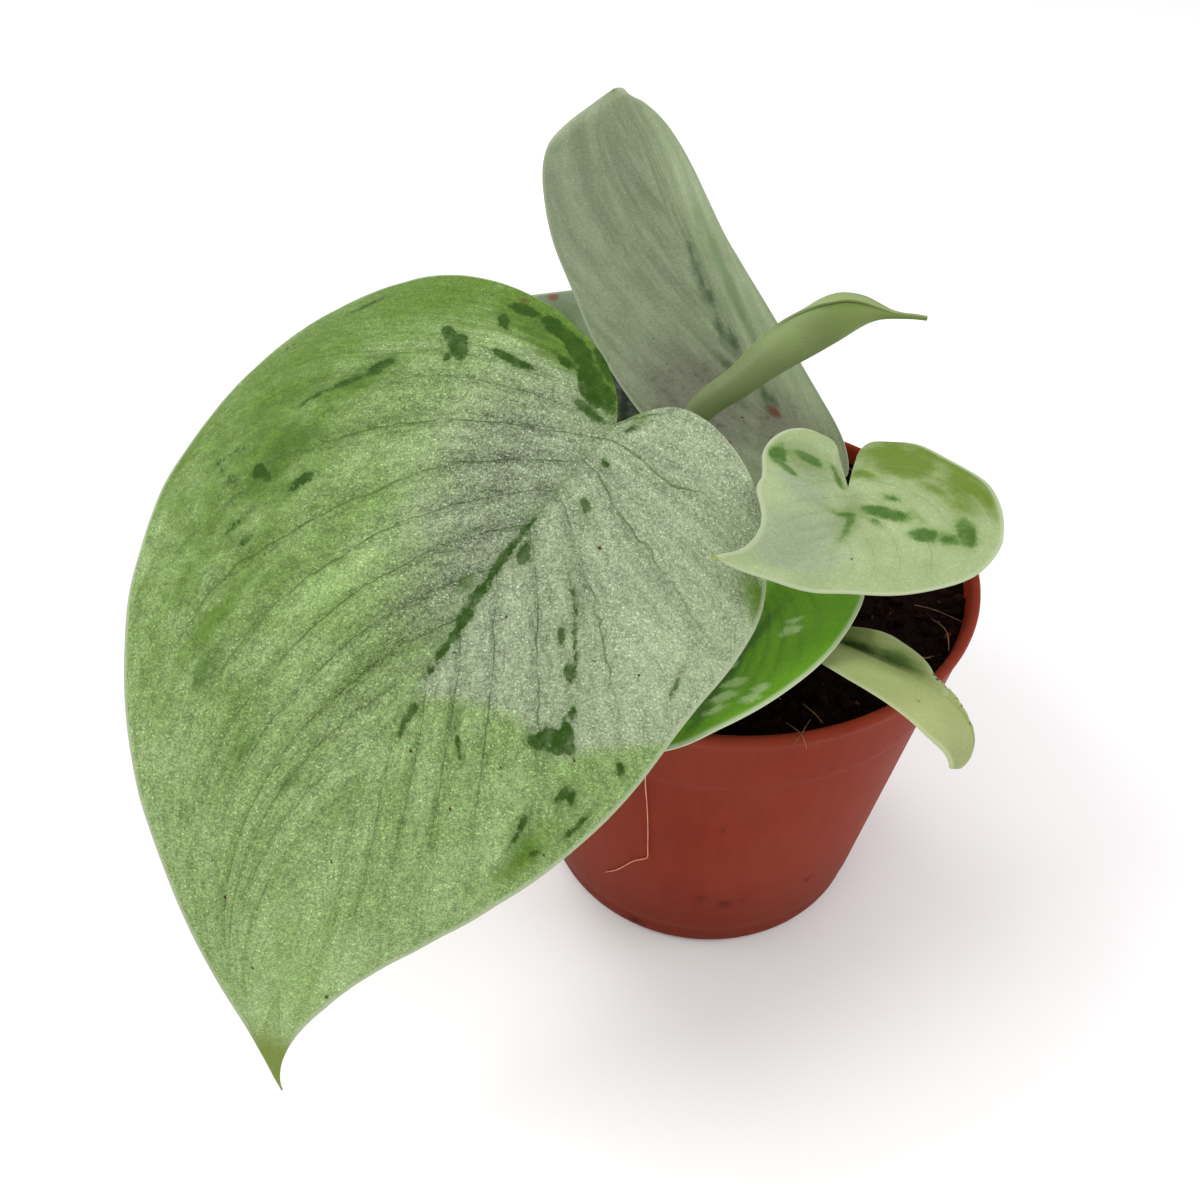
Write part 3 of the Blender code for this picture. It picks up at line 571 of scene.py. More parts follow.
# Greener ground: the same five numbers, then how softly it ends
TINTS = {
    "leaf_main": [(20, -34, 48, 22, 20, 1.0), (-1, -30, 20, 14, 120, 0.7), (14, -38, 22, 9, 160, 0.8), (34, -42, 24, 8, 10, 0.9), (58, -34, 18, 6, 25, 1.0),
                  (-4, -12, 15, 5, 95, 0.5), (-3, -3, 7, 4, 80, 0.7), (16, -26, 14, 3.5, 155, 0.9), (28, -26, 12, 4, 165, 1.0),
                  (44, -22, 12, 3, 165, 1.0),
                  (44, 20, 10, 2.5, 170, 1.0), (4, 25, 8, 3, 70, 0.9), (92, 1, 8, 5, 0, 0.8)],
    "leaf_back": [(26, -4, 24, 1.6, 175, 0.9)],
    "leaf_right": [(-6, 5, 7, 6, 85, 0.9), (-6.5, 10, 8, 7, 95, 0.9), (-2.5, 14, 7, 5.5, 60, 0.9),
                   (-3.5, 7, 7.5, 6, 85, 0.8), (0.5, 13.5, 7.5, 5, 60, 0.9),
                   (1, 10, 5.5, 1.8, 60, 1.0), (3, 12.5, 4, 1.8, 70, 1.0), (1.5, 15.5, 6, 2.4, 35, 1.0),
                   (-1.5, 2, 3, 1.6, 60, 0.8), (-1.5, -11.5, 5, 1.2, 90, 1.0)],
    "leaf_under": [(16, 3, 20, 1.6, 0, 0.9)],
    # On the young leaf these are painted shade: the dark stripe in its fold behind the crest
    "leaf_young": [(4, 1.0, 5, 0.9, 5, 0.8), (10, 1.5, 5.5, 1.7, 0, 0.8)],
    "leaf_behind": [(25, -6, 12, 5, 170, 0.9), (10, 6, 9, 5, 30, 0.9)],
}
# Drifts of deeper green that follow the veins, in the same way
DEEPS = {
    "leaf_main": [(25, -27, 10, 4.0, 168, 1.0), (13, -26, 8, 3.6, 152, 1.0), (5, -20, 6, 3.4, 120, 1.0), (-2, -13.5, 6, 3.0, 100, 1.0),
                  (-3, -7, 6, 2.8, 75, 1.0), (0.5, -3, 4, 2.2, 65, 1.0), (46, -20, 14, 3.0, 165, 1.2),
                  (56, -14, 12, 3.0, 170, 1.3), (62, -24, 12, 3.0, 0, 1.3), (40, 20, 12, 3.0, 170, 1.4), (52, -7, 5, 2.0, 150, 1.2), (24.7, -1.5, 2.2, 1.5, 0, 0.7)],
    "leaf_right": [(5.5, 1, 4, 2, 0, 1.3), (5, 6, 6, 2.2, 80, 1.3), (-0.5, -7.5, 5, 3.6, 80, 1.3), (7, 12, 4.5, 2.4, 80, 1.2)],
}
# Rusty marks, in the same way
RUSTS = {"leaf_main": [(-4.5, -17.5, 1.4, 0.5, 110, 1.3)], "leaf_back": [(9.2, 0.1, 2.0, 1.1, 20, 0.8), (8.8, 8.0, 0.6, 0.4, 0, 0.8)],
         "leaf_behind": [(30.6, -7.9, 2.0, 1.3, 10, 0.8)], "leaf_right": [(28.7, 0, 0.5, 0.4, 0, 0.9)]}
# The greyest bloom, in the same way
GREYS = {
    "leaf_main": [(14, -2, 30, 18, 14, 0.9)],
    "leaf_back": [(16, 9, 16, 12, 20, 0.9), (6, 0, 12, 8, 0, 0.9)],
    "leaf_right": [(15, -2, 12, 8, 10, 0.8), (5, -6, 6, 4, 60, 0.8)],
    "leaf_under": [], "leaf_young": [], "leaf_behind": [(10, 0, 20, 12, 0, 0.9)],
}
# On the largest leaf the grey bloom stops short at this line (mm) on one half
BLOOM_END = [(36.6, 0), (36.1, 1.8), (33.7, 5.8), (32.1, 10.2), (32.2, 17.6), (28.5, 20.8), (25.4, 24.3), (22.1, 27.6)]
# Painted light: ground made lighter as if more light fell there, in the same way, each leaf with how strongly
PAINTED_LIGHTS = {"leaf_back": (1.2, [(20, -10, 55, 13, 178, 0.35)]), "leaf_main": (0.75, [(10, 18, 22, 12, 0, 1.0), (76, 2, 20, 11, 0, 1.0), (34, -13, 9, 4, 160, 1.0)]),
         "leaf_young": (0.5, [(9, -4, 9, 6, 0, 0.8)])}
# Painted shade: ground made darker where less light falls on it, in the same way
PAINTED_SHADES = {
    "leaf_main": [(24, -3.6, 30, 4.6, 174, 1.0), (12, -7, 15, 7, 10, 1.0), (12, -18, 14, 6, 150, 2.2)],
    "leaf_back": [(26, -0.8, 28, 2.8, 176, 1.2)],
    "leaf_right": [(-1, -6, 6, 5, 80, 0.9), (6, 0.5, 6, 3, 0, 0.9)],
    "leaf_under": [(16, 1, 20, 3, 0, 0.9)], "leaf_young": [(6, 0.8, 8, 1.2, 5, 0.9), (27, -2, 9, 10, 0, 1.4)],
    "leaf_behind": [],
}
# Brown specks: along, out, radius (mm)
SPECKS = {
    "leaf_main": [(74, 5.5, 0.25), (73.5, -3.5, 0.2), (66.5, -8.5, 0.2), (4.5, -34.5, 0.25),
                  (15.5, -40.5, 0.3), (14.5, -40, 0.3), (-3, -21, 0.15), (23, -2.5, 0.2), (31, 1.5, 0.2),
                  (21.5, 14.5, 0.25), (19.5, 19.5, 0.15), (31.5, 19, 0.2), (44.5, 10, 0.15),
                  (42.5, 22, 0.2), (42, 3, 0.2), (37.5, 12.5, 0.2), (57, 1, 0.2), (46, -35, 0.25),
                  (12, 7.5, 0.2), (24.5, 4, 0.2)],
    "leaf_back": [(32.5, 9, 0.2), (27, 10, 0.2), (42.5, 9.5, 0.2), (16.5, 8.5, 0.2), (11, 4.5, 0.25),
                  (23, 10, 0.2)],
    "leaf_right": [(2.5, 12.5, 0.15), (13.5, 3.5, 0.15)],
    "leaf_under": [(12, -5, 0.2)],
    "leaf_young": [(17.5, -5.5, 0.2), (24, 1.5, 0.15), (14, 0, 0.15)],
    "leaf_behind": [(18, 3, 0.25)],
}
STALKS = {
    "leaf_main": [(-5.0, 4.4, 69.6, 1.9), (-4.9, 3.2, 70.3, 1.8), (-7.0, -1.6, 74.8, 1.4), (-10.2, -6.8, 83.5, 1.3)],
    "leaf_back": [(13.7, 1.2, 60.0, 1.6), (14.6, 2.0, 60.3, 1.5), (15.2, 5.2, 60.8, 1.2), (14.8, 8.4, 62.2, 1.2)],
    "leaf_right": [(13.8, 0.8, 60.9, 1.5), (14.4, 0.3, 61.8, 1.5), (15.8, -2.2, 67.8, 1.1), (14.4, -8.4, 74.6, 1.1)],
    "leaf_under": [(10.5, -8.0, 52, 1.1), (10.5, -8.0, 57, 1.1), (10.4, -8.0, 58.4, 1.1), (8.8, -9.6, 60.8, 1.1)],
    "leaf_young": [(6.0, -15.6, 52, 1.0), (6.0, -15.6, 56.4, 1.0), (6.2, -15.8, 57.4, 1.0), (8.2, -17.4, 58.9, 1.0)],
    "leaf_behind": [(-4.6, 5.4, 60.3, 1.6), (-5.6, 6.6, 60.6, 1.5), (-7.6, 8.8, 63.6, 1.1), (-11.6, 10.6, 64.4, 1.1)],
}


def bezier(p, t):
    weights = ((1 - t) ** 3, 3 * (1 - t) ** 2 * t, 3 * (1 - t) * t * t, t ** 3)
    return [sum(w * q[i] for w, q in zip(weights, p)) for i in (0, 1)]


def flat_half(leaf, side, t, v):
    """Places (mm) on one flat half: t runs from the sinus edge to the tip, v from the midrib to the margin."""
    length, width = leaf["length"], leaf[side]
    lobe, half = leaf["lobe_" + side], leaf["lobe_width"] * width
    wide = leaf["widest"] * length
    reach = wide + leaf["belly"] * length * (1 - leaf["widest"])
    lift = half + 0.62 * (width - half)
    sinus = [(0, 0), (-leaf["sinus"] * lobe, SINUS_OPEN + 0.02 * width), (-lobe, 0.45 * half), (-lobe, half)]
    lobe_edge = [(-lobe, half), (-lobe, lift), (wide - 0.5 * (wide + lobe), width), (wide, width)]
    blunt = leaf.get("blunt", 0.06) * width
    tip_edge = [(wide, width), (reach, width), (length * (1 - leaf["tip_draw"]), blunt), (length, 0)]
    near = bezier(lobe_edge, np.clip(t / LOBE_SHARE, 0, 1))
    far = bezier(tip_edge, np.clip((t - LOBE_SHARE) / (1 - LOBE_SHARE), 0, 1))
    edge = [np.where(t < LOBE_SHARE, a, b) for a, b in zip(near, far)]
    rib, bow, hollow = length * t ** RIB_POWER, (1 - t) ** 4, bezier(sinus, v)
    return rib + (edge[0] - rib) * v + bow * (hollow[0] + lobe * v), edge[1] * v + bow * (hollow[1] - half * v)


def flat_blade(leaf, t, v):
    """The same for both halves, the right one with v and y below zero."""
    left, right = flat_half(leaf, "left", t, abs(v)), flat_half(leaf, "right", t, abs(v))
    return np.where(v >= 0, left[0], right[0]), np.where(v >= 0, left[1], -right[1])


def bent(leaf, x, y):
    """Where places of the flat blade (mm) lie on the bent one; its crease along the midrib is rounded."""
    yaw, pitch, roll = (math.radians(leaf[k]) for k in ("yaw", "pitch", "roll"))
    ahead = np.array([math.cos(yaw) * math.cos(pitch), math.sin(yaw) * math.cos(pitch), math.sin(pitch)])
    level = np.array([-math.sin(yaw), math.cos(yaw), 0])
    above = np.cross(ahead, level)
    left = level * math.cos(roll) + above * math.sin(roll)
    up = above * math.cos(roll) - level * math.sin(roll)
    length, power, droop = leaf["length"], leaf["droop_power"], math.radians(leaf["droop"])
    share = np.clip(x / length, 0, 1)
    marks = np.linspace(0, 1, 401)
    slope = droop * ((marks[1:] + marks[:-1]) / 2) ** power
    run = np.interp(share, marks, np.append(0, np.cumsum(np.cos(slope)))) * length / 400
    rise = -np.interp(share, marks, np.append(0, np.cumsum(np.sin(slope)))) * length / 400
    run = np.where(x < 0, x, run)
    turn = droop * share ** power
    fade = np.clip((1 - share) / leaf.get("tip_flat", TIP_FLAT), 0, 1)
    fade = np.minimum(fade * fade * (3 - 2 * fade), 0.3 + 0.7 * np.hypot(np.maximum(x, 0), y) / length / NOTCH_FLAT)
    sign = np.where(y >= 0, 1, -1)
    fold = np.radians(np.where(y >= 0, leaf["fold_left"], leaf["fold_right"])) * fade
    curl = np.radians(np.where(y >= 0, leaf["curl_left"], leaf["curl_right"])) / max(leaf["left"], leaf["right"])
    curl = np.where(abs(curl) > 1e-5, curl, 1e-5)
    out = (np.sin(fold) - np.sin(fold - curl * abs(y))) / curl * sign + leaf["sweep"] * length * share ** 2
    crease = leaf.get("crease", CREASE)
    high = (np.cos(fold - curl * np.hypot(y, crease)) - np.cos(fold)) / curl
    level_here = np.sin(fold) * crease
    level_middle = math.radians(1) * 0.5 * (leaf["fold_left"] + leaf["fold_right"]) * fade * crease
    high += (level_middle - level_here) * np.exp(-(y / (1.6 * crease)) ** 2)
    twist = math.radians(leaf["twist"]) * share
    out, high = out * np.cos(twist) - high * np.sin(twist), out * np.sin(twist) + high * np.cos(twist)
    normal = up * np.cos(turn)[:, None] + ahead * np.sin(turn)[:, None]
    return leaf["at"] + ahead * run[:, None] + up * rise[:, None] + left * out[:, None] + normal * high[:, None]


def vein_phase(leaf, veins, t, v):
    """Counts the veins from the notch on: whole numbers lie on a vein."""
    base = np.where(v >= 0, veins["left"][0], veins["right"][0])
    gain = np.where(v >= 0, veins["left"][1], veins["right"][1])
    v = np.minimum(abs(v), 0.995)
    low, high = np.full(t.shape, -1.0), np.ones(t.shape)
    for _ in range(30):
        start = (low + high) / 2
        lead = np.minimum(base + gain * np.maximum(start, 0), 1.1) * v - veins["ease"] * v * v
        lead += veins["turn"] * (1 - np.sqrt(1 - v * v))
        short = start + (1 - start) * lead < t
        low, high = np.where(short, start, low), np.where(short, high, start)
    return start * veins["count"]


def nearness(items, x, y, soft=None):
    """How deep a place lies in the nearest of these ovals: in mm, or from 0 to 1 over a soft edge."""
    deepest = np.full(x.shape, -2.0 if soft is None else 0.0)
    for along, off, long_half, wide_half, turn, *rest in items:
        c, s = math.cos(math.radians(turn)), math.sin(math.radians(turn))
        apart = np.hypot(((x - along) * c + (y - off) * s) / long_half, ((y - off) * c - (x - along) * s) / wide_half)
        if soft is None:
            deepest = np.maximum(deepest, (1 - apart) * wide_half)
        else:
            deepest = np.maximum(deepest, np.clip((1 - apart) / rest[0], 0, 1))
    return deepest


def grown_form(name, leaf, t, v):
    """The bent blade with its quilting, its sunken midrib and its wavering margin, and what its skin needs."""
    size = (leaf["length"] / 96.8) ** 0.5
    ripple = [noise.noise(Vector((a * leaf["length"] / 6, 5 if b > 0 else 8, 0.5))) for a, b in zip(t, v)]
    edge = leaf.get("ripple", 0.008) * np.array(ripple)
    for side, place, reach, height in SWELLS.get(name, []):
        edge += ((v >= 0) == (side == "left")) * height * np.exp(-((t - place) / reach) ** 2)
    margin_x, margin_y = flat_blade(leaf, t, np.where(v >= 0, 1, -1) * (1 + edge))
    v = v * (1 + edge * v * v)
    x, y = flat_blade(leaf, t, v)
    step = 0.002
    inner = np.clip(t, 0.03, 0.97)
    calm = bent(leaf, *flat_blade(leaf, inner, v * 0.98))
    ahead = bent(leaf, *flat_blade(leaf, inner + step, v * 0.98)) - calm
    beside = bent(leaf, *flat_blade(leaf, inner, v * 0.98 + step)) - calm
    normal = np.cross(ahead, beside)
    normal /= np.linalg.norm(normal, axis=1)[:, None]
    phase = vein_phase(leaf, VEINS[name], t, v)
    rim = np.hypot(margin_x - x, margin_y - y)
    swell = np.clip(abs(y) / 4, 0, 1) * np.clip(rim / 6, 0, 1) * np.clip((0.9 - t) / 0.4, 0, 1) * np.clip((phase + 2) / 4, 0, 1)
    between = abs((phase + 0.5) % 1 - 0.5) * 2
    quilt = leaf.get("quilt", 0.3) * size * (np.sin(between * math.pi / 2) - 0.6) * swell
    valley = leaf.get("valley", 0.5) * size * np.exp(-np.hypot(y, 0.5) / 2.6) + leaf.get("rib_line", 0.25) * size * np.exp(-(y / 0.8) ** 2)
    waver = np.array([noise.noise(Vector((a / 11, b / 11, 3.0))) * 0.45 + noise.noise(Vector((a / 4, b / 4, 9.0))) * 0.12
                      for a, b in zip(x, y)])
    relief = quilt - valley * (1 - t) ** 0.7 + waver * size * np.clip(rim / 3, 0.4, 1)
    if "groove" in leaf:
        off, reach, depth = leaf["groove"]
        relief -= depth * np.exp(-((y - off) / reach) ** 2) * np.clip((0.62 - t) / 0.25, 0, 1) * np.clip(t / 0.1, 0, 1)
    return bent(leaf, x, y) + normal * relief[:, None], normal, x, y, phase, rim


def grown_blade(name, leaf):
    """The blade as a thin solid, with the numbers that its skin reads."""
    bpy.ops.object.select_all(action="DESELECT")
    bpy.ops.mesh.primitive_grid_add(x_subdivisions=leaf["rows"], y_subdivisions=2 * leaf["columns"], size=2)
    obj = bpy.context.object
    obj.name = obj.data.name = name + "_grown"
    grid = spots_of(obj) * MM
    t, v = (grid[:, 0] + 1) / 2, grid[:, 1]
    spots, _, x, y, phase, rim = grown_form(name, leaf, t, v)
    put_spots(obj, spots)
    mark(obj, "vein", phase)
    mark(obj, "rim", rim)
    mark(obj, "along", x)
    mark(obj, "side", y)
    mark(obj, "patch", nearness(PATCHES[name], x, y))
    mark(obj, "tint", nearness(TINTS[name], x, y, True))
    grey = nearness(GREYS[name], x, y, True)
    if name == "leaf_main":
        end = np.interp(y, [b for _, b in BLOOM_END], [a for a, _ in BLOOM_END])
        grey = np.where(y > 0, np.maximum(np.clip(0.5 + (end - x) / 3.5, 0, 1), 0), grey)
    mark(obj, "grey", grey)
    gain, ovals = PAINTED_LIGHTS.get(name, (0, []))
    # Painted shade above zero and painted light below zero, in one field
    mark(obj, "shade", nearness(PAINTED_SHADES[name], x, y, True) - gain * nearness(ovals, x, y, True))
    mark(obj, "speck", nearness([(a, b, r, r, 0) for a, b, r in SPECKS[name]], x, y))
    mark(obj, "rust", nearness(RUSTS.get(name, []), x, y, True))
    mark(obj, "deep", nearness(DEEPS.get(name, []), x, y, True))
    mark(obj, "tip", t)
    body = obj.vertex_groups.new(name="body")
    for index, depth in enumerate(np.clip(rim / 2.5, 0, 1)):
        body.add([index], float(depth), "REPLACE")
    bpy.ops.object.mode_set(mode="EDIT")
    bpy.ops.mesh.select_all(action="SELECT")
    bpy.ops.mesh.remove_doubles(threshold=0.00001)
    bpy.ops.object.mode_set(mode="OBJECT")
    solid = obj.modifiers.new("Body", "SOLIDIFY")
    solid.thickness, solid.offset = BLADE * MM, 0
    solid.vertex_group, solid.thickness_vertex_group = "body", 0.5
    solid.material_offset = 1
    apply_modifiers(obj)
    return obj


def fused_stalk(blade, name, leaf):
    """The stalk with its midrib, joined to the blade."""
    path = list(STALKS[name])
    along, radii, depths = zip(*MIDRIB)
    shares = np.linspace(0, along[-1], MIDRIB_STEPS)
    middle, normal, *_ = grown_form(name, leaf, shares ** (1 / RIB_POWER), 0 * shares + 1e-6)
    for share, spot, up in zip(shares, middle, normal):
        path.append((*(spot - up * np.interp(share, along, depths)), np.interp(share, along, radii)))
    stalk = strand([path], name + "_stalk", 8, 6)
    stalk.data.materials.append(stem_skin)
    blade.data.materials.append(stem_skin)
    only(blade)
    stalk.select_set(True)
    bpy.ops.object.join()
    return blade


# The satin bloom: a fine grain of bright cells, crinkled skin, a soft mottling, and sparse bright dots that are painted
# glints
satin, given, out = new_group("satin_bloom", {"Cell": 0.00016}, ["Sparkle", "Glint", "Crinkle", "Mottle", "Height"])
place = add(satin, "ShaderNodeTexCoord").outputs["Object"]
scale = sum_of(satin, "DIVIDE", 1.0, given["Cell"])
cells = add(satin, "ShaderNodeTexVoronoi", {"Vector": place, "Scale": scale, "Randomness": 1.0})
value = add(satin, "ShaderNodeSeparateColor", {0: cells.outputs["Color"]}).outputs[0]
smear = add(satin, "ShaderNodeTexNoise", {"Vector": place, "Scale": scale, "Detail": 3.0}).outputs["Fac"]
both = sum_of(satin, "ADD", sum_of(satin, "MULTIPLY", value, 0.55), sum_of(satin, "MULTIPLY", smear, 0.55))
satin.links.new(ramp(satin, both, 0.2, 0.9), out["Sparkle"])
wider = add(satin, "ShaderNodeTexVoronoi", {"Vector": place, "Scale": sum_of(satin, "MULTIPLY", scale, 0.55)})
chosen = add(satin, "ShaderNodeSeparateColor", {0: wider.outputs["Color"]}).outputs[1]
chosen = sum_of(satin, "MULTIPLY", ramp(satin, chosen, 0.62, 0.95), ramp(satin, wider.outputs["Distance"], 0.15, 0.5, 1.0, 0.0))
satin.links.new(chosen, out["Glint"])
satin.links.new(cloud(satin, place, 0.0006, 4, 0.65), out["Crinkle"])
satin.links.new(cloud(satin, place, 0.006, 4, 0.6), out["Mottle"])
ridges = sum_of(satin, "ABSOLUTE", sum_of(satin, "SUBTRACT", cloud(satin, place, 0.0007, 4, 0.6), 0.5))
height = sum_of(satin, "SUBTRACT", both, cells.outputs["Distance"])
satin.links.new(sum_of(satin, "SUBTRACT", height, sum_of(satin, "MULTIPLY", ridges, 5.0)), out["Height"])

# Veins as thin lines on the whole numbers of the phase, fainter ones between, a net of the finest, and a painted shade
# beside each vein
lines, given, out = new_group("leaf_veins", {"Width": 0.035, "Inset": 6.0, "Tip": 0.9}, ["Line", "Fine", "Net", "Valley_shade"])
place = add(lines, "ShaderNodeTexCoord").outputs["Object"]
wander = sum_of(lines, "MULTIPLY", sum_of(lines, "SUBTRACT", cloud(lines, place, 0.009, 3), 0.5), 0.55)
jitter = sum_of(lines, "MULTIPLY", sum_of(lines, "SUBTRACT", cloud(lines, place, 0.0018, 3), 0.5), 0.12)
phase = sum_of(lines, "ADD", seen(lines, "vein"), sum_of(lines, "ADD", wander, jitter))
near = sum_of(lines, "ABSOLUTE", sum_of(lines, "SUBTRACT", sum_of(lines, "FRACT", sum_of(lines, "ADD", phase, 0.5)), 0.5))
inset = ramp(lines, seen(lines, "rim"), 0.8, given["Inset"])
early = ramp(lines, seen(lines, "tip"), 0.4, given["Tip"], 1.0, 0.12)
inset = sum_of(lines, "MULTIPLY", inset, sum_of(lines, "MULTIPLY", early, ramp(lines, seen(lines, "vein"), -3.0, 1.0)))
broken = ramp(lines, cloud(lines, place, 0.0035, 3), 0.33, 0.55, 0.25, 1.0)
main_line = sum_of(lines, "MULTIPLY", ramp(lines, near, 0.0, given["Width"], 1.0, 0.0), sum_of(lines, "MULTIPLY", inset, broken))
lines.links.new(main_line, out["Line"])
lines.links.new(sum_of(lines, "MULTIPLY", ramp(lines, near, 0.0, 0.36, 1.0, 0.0), inset), out["Valley_shade"])
third = sum_of(lines, "MULTIPLY", phase, 3.0)
third = sum_of(lines, "ADD", third, sum_of(lines, "MULTIPLY", cloud(lines, place, 0.0035, 2), 2.2))
third = sum_of(lines, "ABSOLUTE", sum_of(lines, "SUBTRACT", sum_of(lines, "FRACT", third), 0.5))
gaps = ramp(lines, cloud(lines, place, 0.004, 2), 0.42, 0.6)
lines.links.new(sum_of(lines, "MULTIPLY", sum_of(lines, "MULTIPLY", ramp(lines, third, 0.0, 0.09, 1.0, 0.0), gaps), inset), out["Fine"])
shaken = add(lines, "ShaderNodeTexNoise", {"Vector": place, "Scale": 500.0, "Detail": 2.0}).outputs["Color"]
shaken = add(lines, "ShaderNodeVectorMath", {0: shaken, "Scale": 0.0012}, operation="SCALE").outputs[0]
shaken = add(lines, "ShaderNodeVectorMath", {0: place, 1: shaken}, operation="ADD").outputs[0]
mesh_of_veins = add(lines, "ShaderNodeTexVoronoi", {"Vector": shaken, "Scale": 430.0}, feature="DISTANCE_TO_EDGE").outputs["Distance"]
net = sum_of(lines, "MULTIPLY", ramp(lines, mesh_of_veins, 0.0, 0.045, 1.0, 0.0), ramp(lines, cloud(lines, place, 0.005, 2), 0.45, 0.65))
lines.links.new(sum_of(lines, "MULTIPLY", net, inset), out["Net"])

# Patches: the field from the mesh with its edge broken up, and crossed by the finest veins as it is on the
# leaf; the soft fields are broken up in the same way
edges, given, out = new_group("broken_patches", {"Ragged": 1.2, "Grain": 0.35, "Soft": 0.13}, ["Patch", "Fringe", "Tint", "Grey", "Speck", "Rust", "Deep"])
place = add(edges, "ShaderNodeTexCoord").outputs["Object"]
torn = sum_of(edges, "MULTIPLY", sum_of(edges, "SUBTRACT", cloud(edges, place, 0.0013, 4, 0.65), 0.5), given["Ragged"])
bits = sum_of(edges, "MULTIPLY", sum_of(edges, "SUBTRACT", cloud(edges, place, 0.0003, 1), 0.5), given["Grain"])
field = sum_of(edges, "ADD", seen(edges, "patch"), sum_of(edges, "ADD", torn, bits))
tiles = add(edges, "ShaderNodeTexVoronoi", {"Vector": place, "Scale": 1100.0}, feature="DISTANCE_TO_EDGE").outputs["Distance"]
tiles = ramp(edges, tiles, 0.0, 0.08, 0.93, 1.0)
thin = ramp(edges, cloud(edges, place, 0.0016, 4, 0.65), 0.38, 0.58, 0.75, 1.0)
tiles = sum_of(edges, "MULTIPLY", tiles, thin)
edges.links.new(sum_of(edges, "MULTIPLY", ramp(edges, field, sum_of(edges, "MULTIPLY", given["Soft"], -1.0), given["Soft"]), tiles), out["Patch"])
edges.links.new(ramp(edges, field, -0.9, 0.25), out["Fringe"])
loose_edge = sum_of(edges, "MULTIPLY", sum_of(edges, "SUBTRACT", cloud(edges, place, 0.004, 4, 0.6), 0.5), 0.9)
way = add(edges, "ShaderNodeCombineXYZ", {0: seen(edges, "vein"), 1: sum_of(edges, "MULTIPLY", seen(edges, "rim"), 0.10)}).outputs[0]
drawn = add(edges, "ShaderNodeTexNoise", {"Vector": way, "Scale": 1.5, "Detail": 4.0, "Roughness": 0.6}).outputs["Fac"]
drawn = sum_of(edges, "SUBTRACT", drawn, 0.5)
loose_tint = sum_of(edges, "ADD", sum_of(edges, "ADD", loose_edge, sum_of(edges, "MULTIPLY", drawn, 0.8)), sum_of(edges, "MULTIPLY", torn, 0.3))
edges.links.new(ramp(edges, sum_of(edges, "ADD", seen(edges, "tint"), loose_tint), 0.05, 1.0), out["Tint"])
edges.links.new(ramp(edges, sum_of(edges, "ADD", seen(edges, "grey"), sum_of(edges, "MULTIPLY", loose_edge, 0.5)), 0.1, 0.9), out["Grey"])
edges.links.new(ramp(edges, sum_of(edges, "ADD", seen(edges, "rust"), sum_of(edges, "MULTIPLY", torn, 0.5)), 0.15, 0.9), out["Rust"])
drawn = sum_of(edges, "ADD", sum_of(edges, "MULTIPLY", drawn, 2.6), sum_of(edges, "MULTIPLY", torn, 0.6))
drawn = sum_of(edges, "MULTIPLY", ramp(edges, sum_of(edges, "ADD", drawn, seen(edges, "deep")), 0.35, 0.95), ramp(edges, seen(edges, "deep"), 0.0, 0.5))
edges.links.new(drawn, out["Deep"])
edges.links.new(ramp(edges, sum_of(edges, "ADD", seen(edges, "speck"), sum_of(edges, "MULTIPLY", bits, 0.5)), -0.12, 0.02), out["Speck"])

SPECK_BROWN = (0.070, 0.022, 0.012, 1)
RUST = (0.150, 0.038, 0.022, 1)
DEEP_GREEN = (0.060, 0.135, 0.018, 1)


def scaled(tree, colour, value):
    return add(tree, "ShaderNodeVectorMath", {0: colour, "Scale": value}, operation="SCALE").outputs[0]


